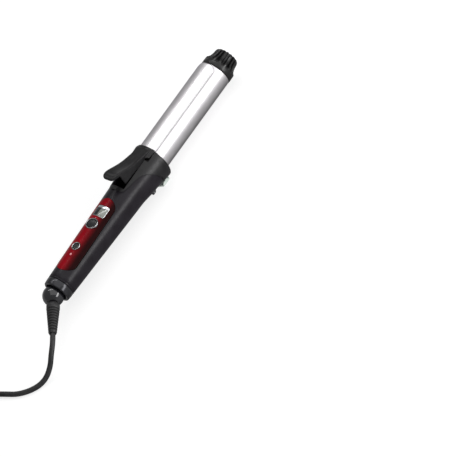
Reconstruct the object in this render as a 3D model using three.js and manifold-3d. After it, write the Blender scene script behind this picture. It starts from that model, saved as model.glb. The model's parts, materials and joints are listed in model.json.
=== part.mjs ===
// Curling iron with a spring clip: heated barrel, clip with a thumb lever, tapered handle with a display
// panel, folding rest stand, and a swivel cord. Millimetres, +Z up, +X towards the cool tip.
// Every piece is drawn on the handle's own axis (x = 0 at the handle's end), and one group lifts the whole
// onto the surface that it lies on.
import * as THREE from "three";
import { mergeVertices } from "three/addons/utils/BufferGeometryUtils.js";
import Module from "manifold-3d";

const wasm = await Module();
wasm.setup();

// ---- driving dimensions ----
const GAP = 0.3;
const ROUND = 32;
const AXIS_HEIGHT = 27.5;
const OVERALL_LENGTH = 332;
const BALL_RADIUS = 12;
const BALL_X = -5.5;

const HANDLE_END_RADIUS = 15.8;
const HANDLE_TAPER = 0.0303;
const HANDLE_WALL = 2.2;
const END_RING_LENGTH = 8.4;
const SPIGOT_RADIUS = 19.6;
const SPIGOT_END = 171;
const COVER_Z = -9;
const COVER_START = 24;
const COVER_END = 122;

const BARREL_RADIUS = 18;
const BARREL_WALL = 1.2;
const BARREL_START = 173;
const BARREL_END = 307;

const COLLAR_INNER = 20;
const RIM_X = 186;
const RIM_SLANT = 1.9;
const SAG = 1.8;
const SAG_START = 140;
const SLOT_HALF_WIDTH = 9.2;
const SLOT_START = 132.3;

const CLIP_INNER = 18.4;
const CLIP_OUTER = 20;
const CLIP_HALF_WIDTH = 12.4;
const CLIP_START = 175.5;
const CLIP_END = 306;

const PIVOT_X = 166;
const PIVOT_Z = 14;
const PIVOT_RADIUS = 1.5;
const LEVER_HALF_WIDTH = 8.6;
const LEVER_WALL = 1.8;
const LEVER_TIP_X = 127;

const PANEL_START = 20;
const PANEL_END = 116;
const PANEL_HALF_WIDTH = 12.9;
const PANEL_THICKNESS = 2;
const DISPLAY_X = 99;
const ROCKER_X = 82;
const POWER_X = 51;
const LAMP_X = 40.5;
const SETTING_LAMP_X = 89.8;

const STAND_PIVOT_X = 160;
const STAND_PIVOT_Z = -24.4;
const STAND_HALF_WIDTH = 12.5;
const STAND_END = 184.5;
const STAND_THICKNESS = 1.8;

const CORD_DIAMETER = 6;
const CORD_DIRECTION = new THREE.Vector3(-0.794, -0.608, 0).normalize();
const GUARD_LENGTH = 41;
const COIL_X = -330.6;
const COIL_Y = 25.7;
const COIL_INNER = 23.7;
const COIL_OUTER = 42.3;
const COIL_HEIGHT = 18.3;
const PLUG_X = -331;
const PLUG_Y = 52.7;
const PLUG_Z = 25.2;

const handleRadius = (x) => HANDLE_END_RADIUS + HANDLE_TAPER * x;

// ---- materials ----
function finish(color, roughness, metalness) {
  return new THREE.MeshStandardMaterial({ color, roughness, metalness });
}
const satinMetal = () => finish(0xd9d9dc, 0.35, 0.9);
const steel = () => finish(0xb4b6ba, 0.4, 0.9);
const brass = () => finish(0xc9a24a, 0.35, 0.9);
const chrome = () => finish(0xe6e6ea, 0.12, 1);
const glossBlack = () => finish(0x2a282c, 0.18, 0);
const matteBlack = () => finish(0x242426, 0.6, 0);
const ceramic = () => finish(0xe8e2d4, 0.7, 0);
const rubber = () => finish(0x17171a, 0.75, 0);

// ---- solids ----
function solidOf(geometry) {
  const loose = geometry.index ? geometry.toNonIndexed() : geometry;
  const plain = new THREE.BufferGeometry();
  plain.setAttribute("position", loose.getAttribute("position"));
  const merged = mergeVertices(plain, 1e-3);
  const vertProperties = merged.attributes.position.array;
  const triVerts = new Uint32Array(merged.index.array);
  return new wasm.Manifold(new wasm.Mesh({ numProp: 3, vertProperties, triVerts }));
}

function geometryOf(solid) {
  const made = solid.getMesh();
  const geometry = new THREE.BufferGeometry();
  geometry.setAttribute("position", new THREE.BufferAttribute(new Float32Array(made.vertProperties), 3));
  geometry.setIndex(new THREE.BufferAttribute(new Uint32Array(made.triVerts), 1));
  geometry.computeVertexNormals();
  return geometry;
}

// A profile of [x, radius] pairs turned about the X axis. It starts and ends on the axis, or closes on itself.
function turned(profile, sides = ROUND) {
  const points = profile.map(([x, radius]) => new THREE.Vector2(radius, x));
  return new THREE.LatheGeometry(points, sides).rotateZ(-Math.PI / 2);
}

// A ring between two radii along X.
function ringAlongX(start, end, inner, outer, sides = ROUND) {
  return turned([[start, inner], [start, outer], [end, outer], [end, inner], [start, inner]], sides);
}

// A profile of [z, radius] pairs turned about the vertical line through (x, y).
function turnedUp(profile, x, y, sides = 20) {
  const points = profile.map(([z, radius]) => new THREE.Vector2(radius, z));
  return new THREE.LatheGeometry(points, sides).rotateX(Math.PI / 2).translate(x, y, 0);
}

function box(x0, x1, y0, y1, z0, z1) {
  const made = new THREE.BoxGeometry(x1 - x0, y1 - y0, z1 - z0);
  return made.translate((x0 + x1) / 2, (y0 + y1) / 2, (z0 + z1) / 2);
}

function rodAlongX(x0, x1, y, z, radius, sides = 12) {
  const made = new THREE.CylinderGeometry(radius, radius, x1 - x0, sides).rotateZ(Math.PI / 2);
  return made.translate((x0 + x1) / 2, y, z);
}

function rodAlongY(x, z, y0, y1, radius, sides = 16) {
  return new THREE.CylinderGeometry(radius, radius, y1 - y0, sides).translate(x, (y0 + y1) / 2, z);
}

function rodAlongZ(x, y, z0, z1, radius, sides = 16) {
  const made = new THREE.CylinderGeometry(radius, radius, z1 - z0, sides).rotateX(Math.PI / 2);
  return made.translate(x, y, (z0 + z1) / 2);
}

function outline(points) {
  return new THREE.Shape(points.map(([a, b]) => new THREE.Vector2(a, b)));
}

// An outline drawn in (x, z), given a width along Y.
function sideSlab(shape, y0, y1, curveSegments = 6) {
  const made = new THREE.ExtrudeGeometry(shape, { depth: y1 - y0, bevelEnabled: false, curveSegments });
  return made.rotateX(Math.PI / 2).translate(0, y1, 0);
}

// An outline drawn in (x, y), given a height along Z.
function planSlab(shape, z0, z1, curveSegments = 6) {
  const made = new THREE.ExtrudeGeometry(shape, { depth: z1 - z0, bevelEnabled: false, curveSegments });
  return made.translate(0, 0, z0);
}

// A round bar of the given radius that follows a smooth curve through the points.
function bar(points, radius, sides, steps) {
  const circle = new THREE.Shape();
  for (let i = 0; i < sides; i++) {
    const turn = (2 * Math.PI * i) / sides;
    const corner = [radius * Math.cos(turn), radius * Math.sin(turn)];
    if (i === 0) circle.moveTo(...corner);
    else circle.lineTo(...corner);
  }
  const path = new THREE.CatmullRomCurve3(points.map((p) => new THREE.Vector3(...p)));
  return new THREE.ExtrudeGeometry(circle, { steps, bevelEnabled: false, extrudePath: path });
}

// An outline with straight sides along X and elliptical ends, in (x, y).
function roundedPanel(start, end, halfWidth, endLength) {
  const shape = new THREE.Shape();
  shape.moveTo(start + endLength, -halfWidth);
  shape.lineTo(end - endLength, -halfWidth);
  shape.absellipse(end - endLength, 0, endLength, halfWidth, -Math.PI / 2, Math.PI / 2);
  shape.lineTo(start + endLength, halfWidth);
  shape.absellipse(start + endLength, 0, endLength, halfWidth, Math.PI / 2, (3 * Math.PI) / 2);
  return shape;
}

function ellipse(x, y, halfX, halfY) {
  const shape = new THREE.Shape();
  shape.absellipse(x, y, halfX, halfY, 0, 2 * Math.PI);
  return shape;
}

const wand = new THREE.Group();
const xMiddle = (BALL_X - BALL_RADIUS + OVERALL_LENGTH) / 2;
wand.position.set(-xMiddle, 0, AXIS_HEIGHT);

function add(name, made, material) {
  const geometry = made.isBufferGeometry ? made : geometryOf(made);
  const mesh = new THREE.Mesh(geometry, material);
  mesh.name = name;
  wand.add(mesh);
}

// ---- shared outlines ----
// The seam between handle and collar, seen from the side: a tongue on top, then a sweep down to the underside.
const seam = [[171, -4], [167.5, 4], [163, 10.5], [158, 14.3], [153, 15.8], [148, 16.6], [139, 17.3]];
function collarRegion(offset) {
  const rimTop = RIM_X + RIM_SLANT;
  const rimBottom = RIM_X - RIM_SLANT;
  const shape = new THREE.Shape();
  shape.moveTo(rimTop, 30);
  shape.lineTo(127.5 - offset, 30);
  shape.lineTo(127.5 - offset, 19.4 - offset);
  shape.lineTo(130 - offset, 18.2 - offset);
  shape.splineThru(seam.toReversed().map(([x, z]) => new THREE.Vector2(x - offset, z - offset)));
  shape.lineTo(174 - offset, -12);
  shape.lineTo(176 - offset, -30);
  shape.lineTo(rimBottom, -30);
  return shape;
}

const panelOutline = (offset) =>
  roundedPanel(PANEL_START - offset, PANEL_END + offset, PANEL_HALF_WIDTH + offset, 11 + offset);

// The handle's front and the collar hang a little lower towards the rim, while their bores stay on the axis.
function sagged(geometry) {
  const position = geometry.getAttribute("position");
  for (let i = 0; i < position.count; i++) {
    const share = Math.max(0, (position.getX(i) - SAG_START) / (RIM_X - SAG_START));
    position.setZ(i, position.getZ(i) - SAG * share);
  }
  return geometry;
}

// ---- handle ----
function handleShell() {
  const grooveDepth = 0.5;
  const start = END_RING_LENGTH + GAP;
  const outer = [
    [start, handleRadius(start) - grooveDepth],
    [start + 0.4, handleRadius(start)],
    [10.2, handleRadius(10)],
    [10.3, handleRadius(10) - grooveDepth],
    [10.9, handleRadius(10) - grooveDepth],
    [11, handleRadius(11)],
    [SAG_START, handleRadius(SAG_START)],
    [153, 21.2],
    [165, 22],
    [178, 22.6],
  ];
  const skin = [[start, 0], ...outer, [178, 0]];
  const bore = [
    [0, 0],
    [0, 13.6],
    [start, 13.6],
    [SAG_START, handleRadius(SAG_START) - HANDLE_WALL],
    [190, SPIGOT_RADIUS - 1],
    [190, 0],
  ];
  const tube = solidOf(sagged(turned(skin))).subtract(solidOf(turned(bore)));
  const spigot = solidOf(ringAlongX(124, SPIGOT_END, SPIGOT_RADIUS - HANDLE_WALL, SPIGOT_RADIUS));
  const collarCut = solidOf(sideSlab(collarRegion(GAP), -30, 30));
  const slot = solidOf(box(SLOT_START, 185, -SLOT_HALF_WIDTH, SLOT_HALF_WIDTH, 6, 30));
  const panelCut = solidOf(planSlab(panelOutline(GAP), 4, 30, 8));
  const coverCut = solidOf(box(COVER_START, COVER_END, -30, 30, -30, COVER_Z));
  const pinCut = solidOf(rodAlongY(PIVOT_X, PIVOT_Z, -12.7, 12.7, PIVOT_RADIUS + GAP));
  const front = solidOf(box(SPIGOT_END, 200, -30, 30, -30, 30));
  const bracketCut = solidOf(standBracket(GAP));
  const carrier = tube.subtract(collarCut).subtract(bracketCut).add(spigot);
  return [slot, panelCut, coverCut, pinCut, front].reduce((made, cut) => made.subtract(cut), carrier);
}

const coverScrews = [34, 112];
function handleBackCover() {
  const start = COVER_START + GAP;
  const end = COVER_END - GAP;
  const profile = [
    [start, handleRadius(start)],
    [end, handleRadius(end)],
    [end, handleRadius(end) - HANDLE_WALL],
    [start, handleRadius(start) - HANDLE_WALL],
    [start, handleRadius(start)],
  ];
  const strip = solidOf(turned(profile)).intersect(solidOf(box(0, 200, -30, 30, -30, COVER_Z - GAP)));
  const holes = coverScrews.map((x) => solidOf(rodAlongZ(x, 0, -30, -5, 1.8)));
  const heads = coverScrews.map((x) => solidOf(rodAlongZ(x, 0, -30, 1.4 - handleRadius(x), 3.4)));
  return [...holes, ...heads].reduce((made, cut) => made.subtract(cut), strip);
}

function coverScrew(x) {
  const surface = -handleRadius(x);
  const head = solidOf(rodAlongZ(x, 0, surface + 0.3, surface + 1.1, 3));
  return head.add(solidOf(rodAlongZ(x, 0, surface + 0.9, surface + 8, 1.4)));
}

function endRing() {
  return turned([
    [0.5, 12.6],
    [0, 13],
    [0, 14.6],
    [0.8, 15.5],
    [END_RING_LENGTH - 0.5, handleRadius(8)],
    [END_RING_LENGTH, handleRadius(8) - 0.5],
    [END_RING_LENGTH, 13.4],
    [4, 13.4],
    [2.5, 12.6],
    [0.5, 12.6],
  ]);
}

function socketRadius(x) {
  return Math.sqrt((BALL_RADIUS + 0.4) ** 2 - (x - BALL_X) ** 2);
}

function swivelSocket() {
  const cup = [4.4, 5.2].map((x) => [x, socketRadius(x)]);
  return turned([...cup.toReversed(), [4.4, 13], [17, 13], [17, 5.4], [9, 5.4], [5.2, socketRadius(5.2)]]);
}

function barrelSeatRing() {
  const ring = solidOf(ringAlongX(SPIGOT_END + GAP, 184, BARREL_RADIUS + GAP, COLLAR_INNER - GAP));
  const clipSlot = solidOf(box(160, 190, -CLIP_HALF_WIDTH - 1, CLIP_HALF_WIDTH + 1, 2, 30));
  return ring.subtract(clipSlot);
}

function collar() {
  const outer = [[126, 21.0], [SAG_START, 21.2], [153, 21.8], [165, 22.4], [176, 23.0], [186, 23.7], [189, 23.8]];
  const skin = solidOf(sagged(turned([[126, 0], ...outer, [189, 0]], 40)));
  const bore = solidOf(turned([[120, 0], [120, COLLAR_INNER], [195, COLLAR_INNER], [195, 0]], 40));
  const ring = skin.subtract(bore);
  const shape = solidOf(sideSlab(collarRegion(0), -30, 30));
  const leverSlot = solidOf(box(SLOT_START, 176, -SLOT_HALF_WIDTH, SLOT_HALF_WIDTH, 6, 30));
  const rootSlot = solidOf(box(172.6, 190, -CLIP_HALF_WIDTH - 0.8, CLIP_HALF_WIDTH + 0.8, 6, 30));
  const lugs = [-8.6, 5.4].map((y) => solidOf(standLug(y, y + 3.2)));
  const pinHole = solidOf(rodAlongY(STAND_PIVOT_X, STAND_PIVOT_Z, -9, 9, 1.3));
  const inside = solidOf(rodAlongX(120, 190, 0, 0, COLLAR_INNER, 40));
  const knuckleRoom = solidOf(rodAlongY(STAND_PIVOT_X, STAND_PIVOT_Z, -5.4, 5.4, 2.7));
  const bracket = ring.intersect(solidOf(standBracket(0)));
  const body = ring.intersect(shape).add(bracket).subtract(leverSlot).subtract(rootSlot);
  return lugs.reduce((made, lug) => made.add(lug.subtract(inside)), body).subtract(knuckleRoom)
    .subtract(pinHole);
}

// The room on the underside, let into the handle shell, for the collar's tongue that carries the stand.
function standBracket(offset) {
  return box(154 - offset, 180, -9.8 - offset, 9.8 + offset, -30, 0);
}

// One ear under the collar that holds the stand's pin.
function standLug(y0, y1) {
  const shape = outline([
    [155.5, -19.5], [157.6, -26.2], [161.8, -26.2], [163.4, -24], [167, -21], [167, -19.5],
  ]);
  return sideSlab(shape, y0, y1);
}

// ---- clip and lever ----
function clipPlate() {
  const arc = solidOf(ringAlongX(CLIP_START, CLIP_END, CLIP_INNER, CLIP_OUTER, 48));
  const plan = new THREE.Shape();
  plan.moveTo(CLIP_START, -8.2);
  plan.lineTo(CLIP_START, 8.2);
  plan.lineTo(180, CLIP_HALF_WIDTH);
  plan.lineTo(CLIP_END - 7, CLIP_HALF_WIDTH);
  plan.quadraticCurveTo(CLIP_END, CLIP_HALF_WIDTH, CLIP_END, CLIP_HALF_WIDTH - 7);
  plan.lineTo(CLIP_END, 7 - CLIP_HALF_WIDTH);
  plan.quadraticCurveTo(CLIP_END, -CLIP_HALF_WIDTH, CLIP_END - 7, -CLIP_HALF_WIDTH);
  plan.lineTo(180, -CLIP_HALF_WIDTH);
  const plate = arc.intersect(solidOf(planSlab(plan, 5, 30, 4)));
  const holes = rivets.map((x) => solidOf(rodAlongZ(x, 0, 10, 30, 1.5)));
  return holes.reduce((made, hole) => made.subtract(hole), plate);
}

const rivets = [178.2, 183];
function clipRivet(x) {
  return rodAlongZ(x, 0, CLIP_INNER + 0.1, CLIP_OUTER + 1.3, 1.2);
}

// The lever's upper side seen from the side, from the rim to the tail: it sweeps up and then levels out.
const leverTop = [
  [187.7, 21.3], [180, 22.5], [172, 24.2], [163, 26.7], [155, 29.7], [147, 33.8], [140, 37.7], [134, 40.2],
];
const leverTail = [[129.5, 41], [127.6, 40.3], [LEVER_TIP_X, 38.9], [128, 37.6], [131, 36.9], [138, 35.2]];

function clipLever() {
  const rim = RIM_X + RIM_SLANT;
  const side = new THREE.Shape();
  side.moveTo(rim, CLIP_OUTER + GAP - 12);
  side.lineTo(rim, 21.2);
  side.splineThru([...leverTop, ...leverTail].map(([x, z]) => new THREE.Vector2(x, z)));
  side.lineTo(138, 20.6);
  side.lineTo(158, 20);
  side.lineTo(161, 11.2);
  side.lineTo(171, 11.2);
  side.lineTo(174, 8);
  const plan = new THREE.Shape();
  plan.moveTo(188, -CLIP_HALF_WIDTH);
  plan.lineTo(188, CLIP_HALF_WIDTH);
  plan.lineTo(177, CLIP_HALF_WIDTH - 0.6);
  plan.lineTo(175, LEVER_HALF_WIDTH);
  plan.lineTo(138, LEVER_HALF_WIDTH + 0.3);
  plan.quadraticCurveTo(LEVER_TIP_X, LEVER_HALF_WIDTH, LEVER_TIP_X, 3.5);
  plan.lineTo(LEVER_TIP_X, -3.5);
  plan.quadraticCurveTo(LEVER_TIP_X, -LEVER_HALF_WIDTH, 138, -LEVER_HALF_WIDTH - 0.3);
  plan.lineTo(175, -LEVER_HALF_WIDTH);
  plan.lineTo(177, 0.6 - CLIP_HALF_WIDTH);
  const block = solidOf(sideSlab(side, -20, 20, 2)).intersect(solidOf(planSlab(plan, -5, 60)));
  const innerWidth = LEVER_HALF_WIDTH - LEVER_WALL;
  const roof = 2.4;
  const ceiling = leverTop.slice(2, 7).map(([x, z]) => [x, z - roof]);
  const hollow = outline([[172, 5], ...ceiling, [134, 34], [130, 32], [130, 5]]);
  const channel = solidOf(sideSlab(hollow, -innerWidth, innerWidth));
  const rootArc = solidOf(sagged(turned([[160, 0], [160, 23.4], [RIM_X + 4, 23.4], [RIM_X + 4, 0]], 40)));
  const behind = solidOf(box(100, 172.5, -30, 30, -30, 60));
  const clipReach = CLIP_OUTER + GAP;
  const clipRoom = solidOf(turned([[172.3, 0], [172.3, clipReach], [192, clipReach], [192, 0]], 48));
  const pinHole = solidOf(rodAlongY(PIVOT_X, PIVOT_Z, -20, 20, PIVOT_RADIUS + 0.1));
  const holes = rivets.map((x) => solidOf(rodAlongZ(x, 0, 10, CLIP_OUTER + 1.6, 1.5)));
  const ramp = solidOf(box(172, 184, -LEVER_HALF_WIDTH, LEVER_HALF_WIDTH, 19, 30));
  const shaped = block.intersect(rootArc.add(behind).add(ramp)).subtract(channel).subtract(clipRoom);
  return [pinHole, ...holes].reduce((made, cut) => made.subtract(cut), shaped);
}

function leverSpring() {
  const coil = rodAlongY(PIVOT_X, PIVOT_Z, -5.4, 5.4, 3.2);
  const shaft = rodAlongY(PIVOT_X, PIVOT_Z, -6, 6, PIVOT_RADIUS + 0.3);
  const leg = box(148, PIVOT_X - 2, -1, 1, PIVOT_Z - 3.1, PIVOT_Z - 1.6);
  return solidOf(coil).add(solidOf(leg)).subtract(solidOf(shaft));
}

// ---- stand ----
function restStand() {
  const low = -AXIS_HEIGHT;
  const side = outline([
    [158, STAND_PIVOT_Z - 1.4],
    [159, STAND_PIVOT_Z - 2.2],
    [161, STAND_PIVOT_Z - 2.2],
    [164, low],
    [STAND_END, low],
    [STAND_END, low + STAND_THICKNESS],
    [165.4, low + STAND_THICKNESS],
    [162.2, STAND_PIVOT_Z],
    [161, STAND_PIVOT_Z + 2],
    [159, STAND_PIVOT_Z + 2],
    [158, STAND_PIVOT_Z + 1.2],
  ]);
  const plan = new THREE.Shape();
  plan.moveTo(157, -5);
  plan.lineTo(165.4, -5);
  plan.lineTo(167.6, -STAND_HALF_WIDTH);
  plan.lineTo(STAND_END - 4, -STAND_HALF_WIDTH);
  plan.quadraticCurveTo(STAND_END, -STAND_HALF_WIDTH, STAND_END, 4 - STAND_HALF_WIDTH);
  plan.lineTo(STAND_END, STAND_HALF_WIDTH - 4);
  plan.quadraticCurveTo(STAND_END, STAND_HALF_WIDTH, STAND_END - 4, STAND_HALF_WIDTH);
  plan.lineTo(167.6, STAND_HALF_WIDTH);
  plan.lineTo(165.4, 5);
  plan.lineTo(157, 5);
  const plate = solidOf(sideSlab(side, -20, 20)).intersect(solidOf(planSlab(plan, -40, -10, 4)));
  const ribShape = outline([[168, low + 1], [169.4, low + 4.4], [180, low + 4.8], [182, low + 1]]);
  const ribs = [-STAND_HALF_WIDTH, STAND_HALF_WIDTH - 1.6].map((y) => solidOf(sideSlab(ribShape, y, y + 1.6)));
  const pinHole = solidOf(rodAlongY(STAND_PIVOT_X, STAND_PIVOT_Z, -9, 9, 1.1));
  return ribs.reduce((made, rib) => made.add(rib), plate).subtract(pinHole);
}

// ---- cool tip ----
function coolTip() {
  const flange = 17.5;
  const core = solidOf(turned([
    [BARREL_END + GAP, 0],
    [BARREL_END + GAP, flange - 0.6],
    [BARREL_END + 1, flange],
    [318.5, flange - 0.3],
    [320.5, 15.4],
    [323, 13.4],
    [329, 12.6],
    [331, 11],
    [OVERALL_LENGTH - 0.2, 8],
    [OVERALL_LENGTH, 5],
    [OVERALL_LENGTH, 0],
  ]));
  const ribCount = 16;
  let made = core;
  for (let i = 0; i < ribCount; i++) {
    const rib = box(318, 330.4, -1.1, 1.1, 11, 14.2).rotateX((2 * Math.PI * i) / ribCount);
    made = made.add(solidOf(rib));
  }
  return made.subtract(solidOf(rodAlongX(300, 322, 0, 0, 4.3, 16)));
}

// ---- control panel ----
function controlPanel() {
  const profile = [
    [PANEL_START - 1, handleRadius(PANEL_START - 1) + 0.2],
    [PANEL_END + 1, handleRadius(PANEL_END + 1) + 0.2],
    [PANEL_END + 1, handleRadius(PANEL_END + 1) - PANEL_THICKNESS],
    [PANEL_START - 1, handleRadius(PANEL_START - 1) - PANEL_THICKNESS],
    [PANEL_START - 1, handleRadius(PANEL_START - 1) + 0.2],
  ];
  const skin = solidOf(turned(profile, 48)).intersect(solidOf(planSlab(panelOutline(0), 4, 30, 8)));
  const cuts = [
    box(DISPLAY_X - 7.2, DISPLAY_X + 7.2, -8.6, 8.6, 10, 30),
    planSlab(ellipse(ROCKER_X, 0, 7.1, 8.1), 10, 30, 8),
    rodAlongZ(POWER_X, 0, 10, 30, 5.4, 24),
    rodAlongZ(LAMP_X, 0, 10, 30, 1.8),
    rodAlongZ(SETTING_LAMP_X, 0, 10, 30, 0.9),
  ];
  return cuts.reduce((made, cut) => made.subtract(solidOf(cut)), skin);
}

function lcdFrame() {
  const top = handleRadius(DISPLAY_X);
  const rim = solidOf(box(DISPLAY_X - 6.9, DISPLAY_X + 6.9, -8.3, 8.3, top - 5, top - 1.2));
  return rim.subtract(solidOf(box(DISPLAY_X - 5.6, DISPLAY_X + 4.6, -6.6, 6.6, 10, 30)));
}

function ovalRing(x, halfX, halfY, wall, z0, z1) {
  const outer = solidOf(planSlab(ellipse(x, 0, halfX, halfY), z0, z1, 8));
  return outer.subtract(solidOf(planSlab(ellipse(x, 0, halfX - wall, halfY - wall), z0 - 1, z1 + 1, 8)));
}

function temperatureRocker() {
  const top = handleRadius(ROCKER_X);
  const cap = solidOf(planSlab(ellipse(ROCKER_X, 0, 5.2, 6.2), top - 3.4, top + 0.5, 8));
  const waist = solidOf(box(ROCKER_X - 1, ROCKER_X + 1, -3, 3, top - 5.6, top - 3.2));
  const dish = solidOf(rodAlongY(ROCKER_X, top + 24, -10, 10, 24, 64));
  return cap.add(waist).subtract(dish);
}

function powerButton() {
  const top = handleRadius(POWER_X);
  const low = top - 4.2;
  return turnedUp([[low, 0], [low, 3.6], [top + 0.5, 3.6], [top + 0.9, 3], [top + 1, 0]], POWER_X, 0);
}

// ---- inside the handle ----
const BOARD_TOP = 5;
function circuitBoard() {
  return box(28, 124, -11, 11, BOARD_TOP - 1.6, BOARD_TOP);
}

function heaterLead(y) {
  const points = [[120, y, 1.4], [140, y, 0], [160, y * 0.8, 0], [178, y * 0.6, 0]];
  return bar(points, 0.9, 8, 12);
}

function heatSpreader(side) {
  const round = solidOf(rodAlongX(180, 298, 0, 0, BARREL_RADIUS - BARREL_WALL - GAP, 32));
  const half = side > 0 ? box(170, 310, -30, 30, 2.3, 30) : box(170, 310, -30, 30, -30, -2.3);
  const hollow = box(170, 310, -9, 9, side > 0 ? 5 : -30, side > 0 ? 30 : -5);
  return round.intersect(solidOf(half)).subtract(solidOf(hollow));
}

const rockerBottom = handleRadius(ROCKER_X) - 6.2;
const powerButtonBottom = handleRadius(POWER_X) - 5.6;
function switchUnder(x, top) {
  return box(x - 2.6, x + 2.6, -3, 3, BOARD_TOP + GAP, top);
}

function powerButtonRing() {
  const top = handleRadius(POWER_X);
  const low = top - 3;
  const profile = [[low, 4], [low, 5.1], [top + 0.6, 5.1], [top + 0.9, 4.7], [top + 0.6, 4], [low, 4]];
  return turnedUp(profile, POWER_X, 0, 28);
}

// A spring finger that rests close to the swivel's stem.
function swivelBrush(side) {
  const x0 = side > 0 ? 17.6 : 21.6;
  const reach = side > 0 ? 5 : 3;
  return box(x0 - 0.2, x0 + 1.8, side > 0 ? reach : -reach - 0.8, side > 0 ? reach + 0.8 : -reach, -6, 2.8);
}

// ---- cord ----
const guardStart = new THREE.Vector3(BALL_X, 0, 0).addScaledVector(CORD_DIRECTION, BALL_RADIUS - 1);
const guardEnd = guardStart.clone().addScaledVector(CORD_DIRECTION, GUARD_LENGTH);

// Turned about the cord's own direction: profile of [distance from the ball, radius].
function turnedAlongCord(profile, sides) {
  const points = profile.map(([along, radius]) => new THREE.Vector2(radius, along));
  const turnTo = new THREE.Quaternion().setFromUnitVectors(new THREE.Vector3(0, 1, 0), CORD_DIRECTION);
  const made = new THREE.LatheGeometry(points, sides).applyQuaternion(turnTo);
  return made.translate(guardStart.x, guardStart.y, guardStart.z);
}

function swivelBall() {
  const sphere = new THREE.SphereGeometry(BALL_RADIUS, 28, 18).rotateZ(Math.PI / 2).translate(BALL_X, 0, 0);
  const stem = turned([[0, 0], [0, 4.6], [20, 4.6], [20, 2.6], [26, 2.6], [26, 0]], 20);
  const neck = turnedAlongCord([[-2, 0], [-2, 3], [0.5, 3], [0.5, 0]], 16);
  return solidOf(sphere).add(solidOf(stem)).add(solidOf(neck));
}

function cordGuard() {
  const profile = [[1.6, 3.4], [1.6, 7.4], [9, 7.2]];
  const ribPitch = 3.4;
  for (let along = 9; along + ribPitch < GUARD_LENGTH - 2; along += ribPitch) {
    const radius = 7 - 2.6 * ((along - 9) / (GUARD_LENGTH - 9));
    profile.push([along + 0.9, radius - 0.9], [along + 1.5, radius - 0.9], [along + 2.3, radius]);
  }
  profile.push([GUARD_LENGTH, 4.2], [GUARD_LENGTH, 3.4], [1.6, 3.4]);
  return turnedAlongCord(profile, 24);
}

// The cord's centre line in the part's own frame: out of the guard, down to the surface, and round to the coil.
const cordRoute = [
  [-176.2, -10.4, 27.5],
  [-187.3, -18.9, 27.5],
  [-198.4, -27.4, 27.5],
  [-206.4, -33.5, 27.1],
  [-214.9, -38.7, 25.5],
  [-224.5, -41.8, 20.9],
  [-234.4, -42.8, 12.8],
  [-244.3, -41.5, 6.4],
  [-253.7, -38.1, 3.5],
  [-262.1, -32.8, 3.1],
  [-269, -25.7, 3.1],
  [-274.4, -17.1, 3.1],
  [-278.2, -6.6, 3.1],
  [-281.9, 4.2, 3.1],
  [-285.9, 15.7, 3.1],
];

// The last of the cord, from the top of the coil into the plug.
const tailRoute = [
  [-318.2, 49.3, 22],
  [-322.6, 51.5, 23.6],
  [-327, 52.5, 24.8],
  [-331.2, 52.7, 25.2],
];

function cordCoil() {
  const profile = [
    [0.1, COIL_INNER],
    [0.1, COIL_OUTER],
    [COIL_HEIGHT, COIL_OUTER],
    [COIL_HEIGHT, COIL_INNER],
    [0.1, COIL_INNER],
  ];
  return turnedUp(profile, COIL_X, COIL_Y, 40);
}

// A strap round the coil's section, with a slot that the turns fill.
function cordTie() {
  const y0 = COIL_Y - COIL_OUTER - 1.6;
  const y1 = COIL_Y - COIL_INNER + 1.6;
  const strap = solidOf(box(COIL_X - 5, COIL_X + 5, y0, y1, 0.05, COIL_HEIGHT + 1.5));
  const room = turnedUp([
    [-1, COIL_INNER - GAP], [-1, COIL_OUTER + GAP], [COIL_HEIGHT + GAP, COIL_OUTER + GAP],
    [COIL_HEIGHT + GAP, COIL_INNER - GAP], [-1, COIL_INNER - GAP],
  ], COIL_X, COIL_Y, 40);
  return strap.subtract(solidOf(room));
}

// The plug lies on the coil and points away from the wand.
const PLUG_FRONT = PLUG_X - 44;
function plugBody() {
  const relief = rodAlongX(PLUG_X - 17, PLUG_X, PLUG_Y, PLUG_Z, 4.4, 16);
  const shape = new THREE.Shape();
  const widest = 12;
  shape.moveTo(PLUG_X - 15, -5);
  shape.quadraticCurveTo(PLUG_X - 20, -widest, PLUG_X - 30, -widest);
  shape.lineTo(PLUG_FRONT, -widest);
  shape.lineTo(PLUG_FRONT, widest);
  shape.lineTo(PLUG_X - 30, widest);
  shape.quadraticCurveTo(PLUG_X - 20, widest, PLUG_X - 15, 5);
  const body = planSlab(shape, PLUG_Z - 6.4, PLUG_Z + 6.4).translate(0, PLUG_Y, 0);
  const bore = rodAlongX(PLUG_X - 10, PLUG_X + 1, PLUG_Y, PLUG_Z, CORD_DIAMETER / 2 + GAP, 16);
  const made = solidOf(relief).add(solidOf(body)).subtract(solidOf(bore));
  return plugPins.reduce((whole, y) => whole.subtract(solidOf(plugPin(y, GAP))), made);
}

const plugPins = [-6.35, 6.35];
function plugPin(y, grow) {
  const middle = PLUG_Y + y;
  const thick = 0.8 + grow;
  const wide = 3.1 + grow;
  const front = PLUG_FRONT - 16;
  return box(front, front + 24 + grow, middle - thick, middle + thick, PLUG_Z - wide, PLUG_Z + wide);
}

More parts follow.
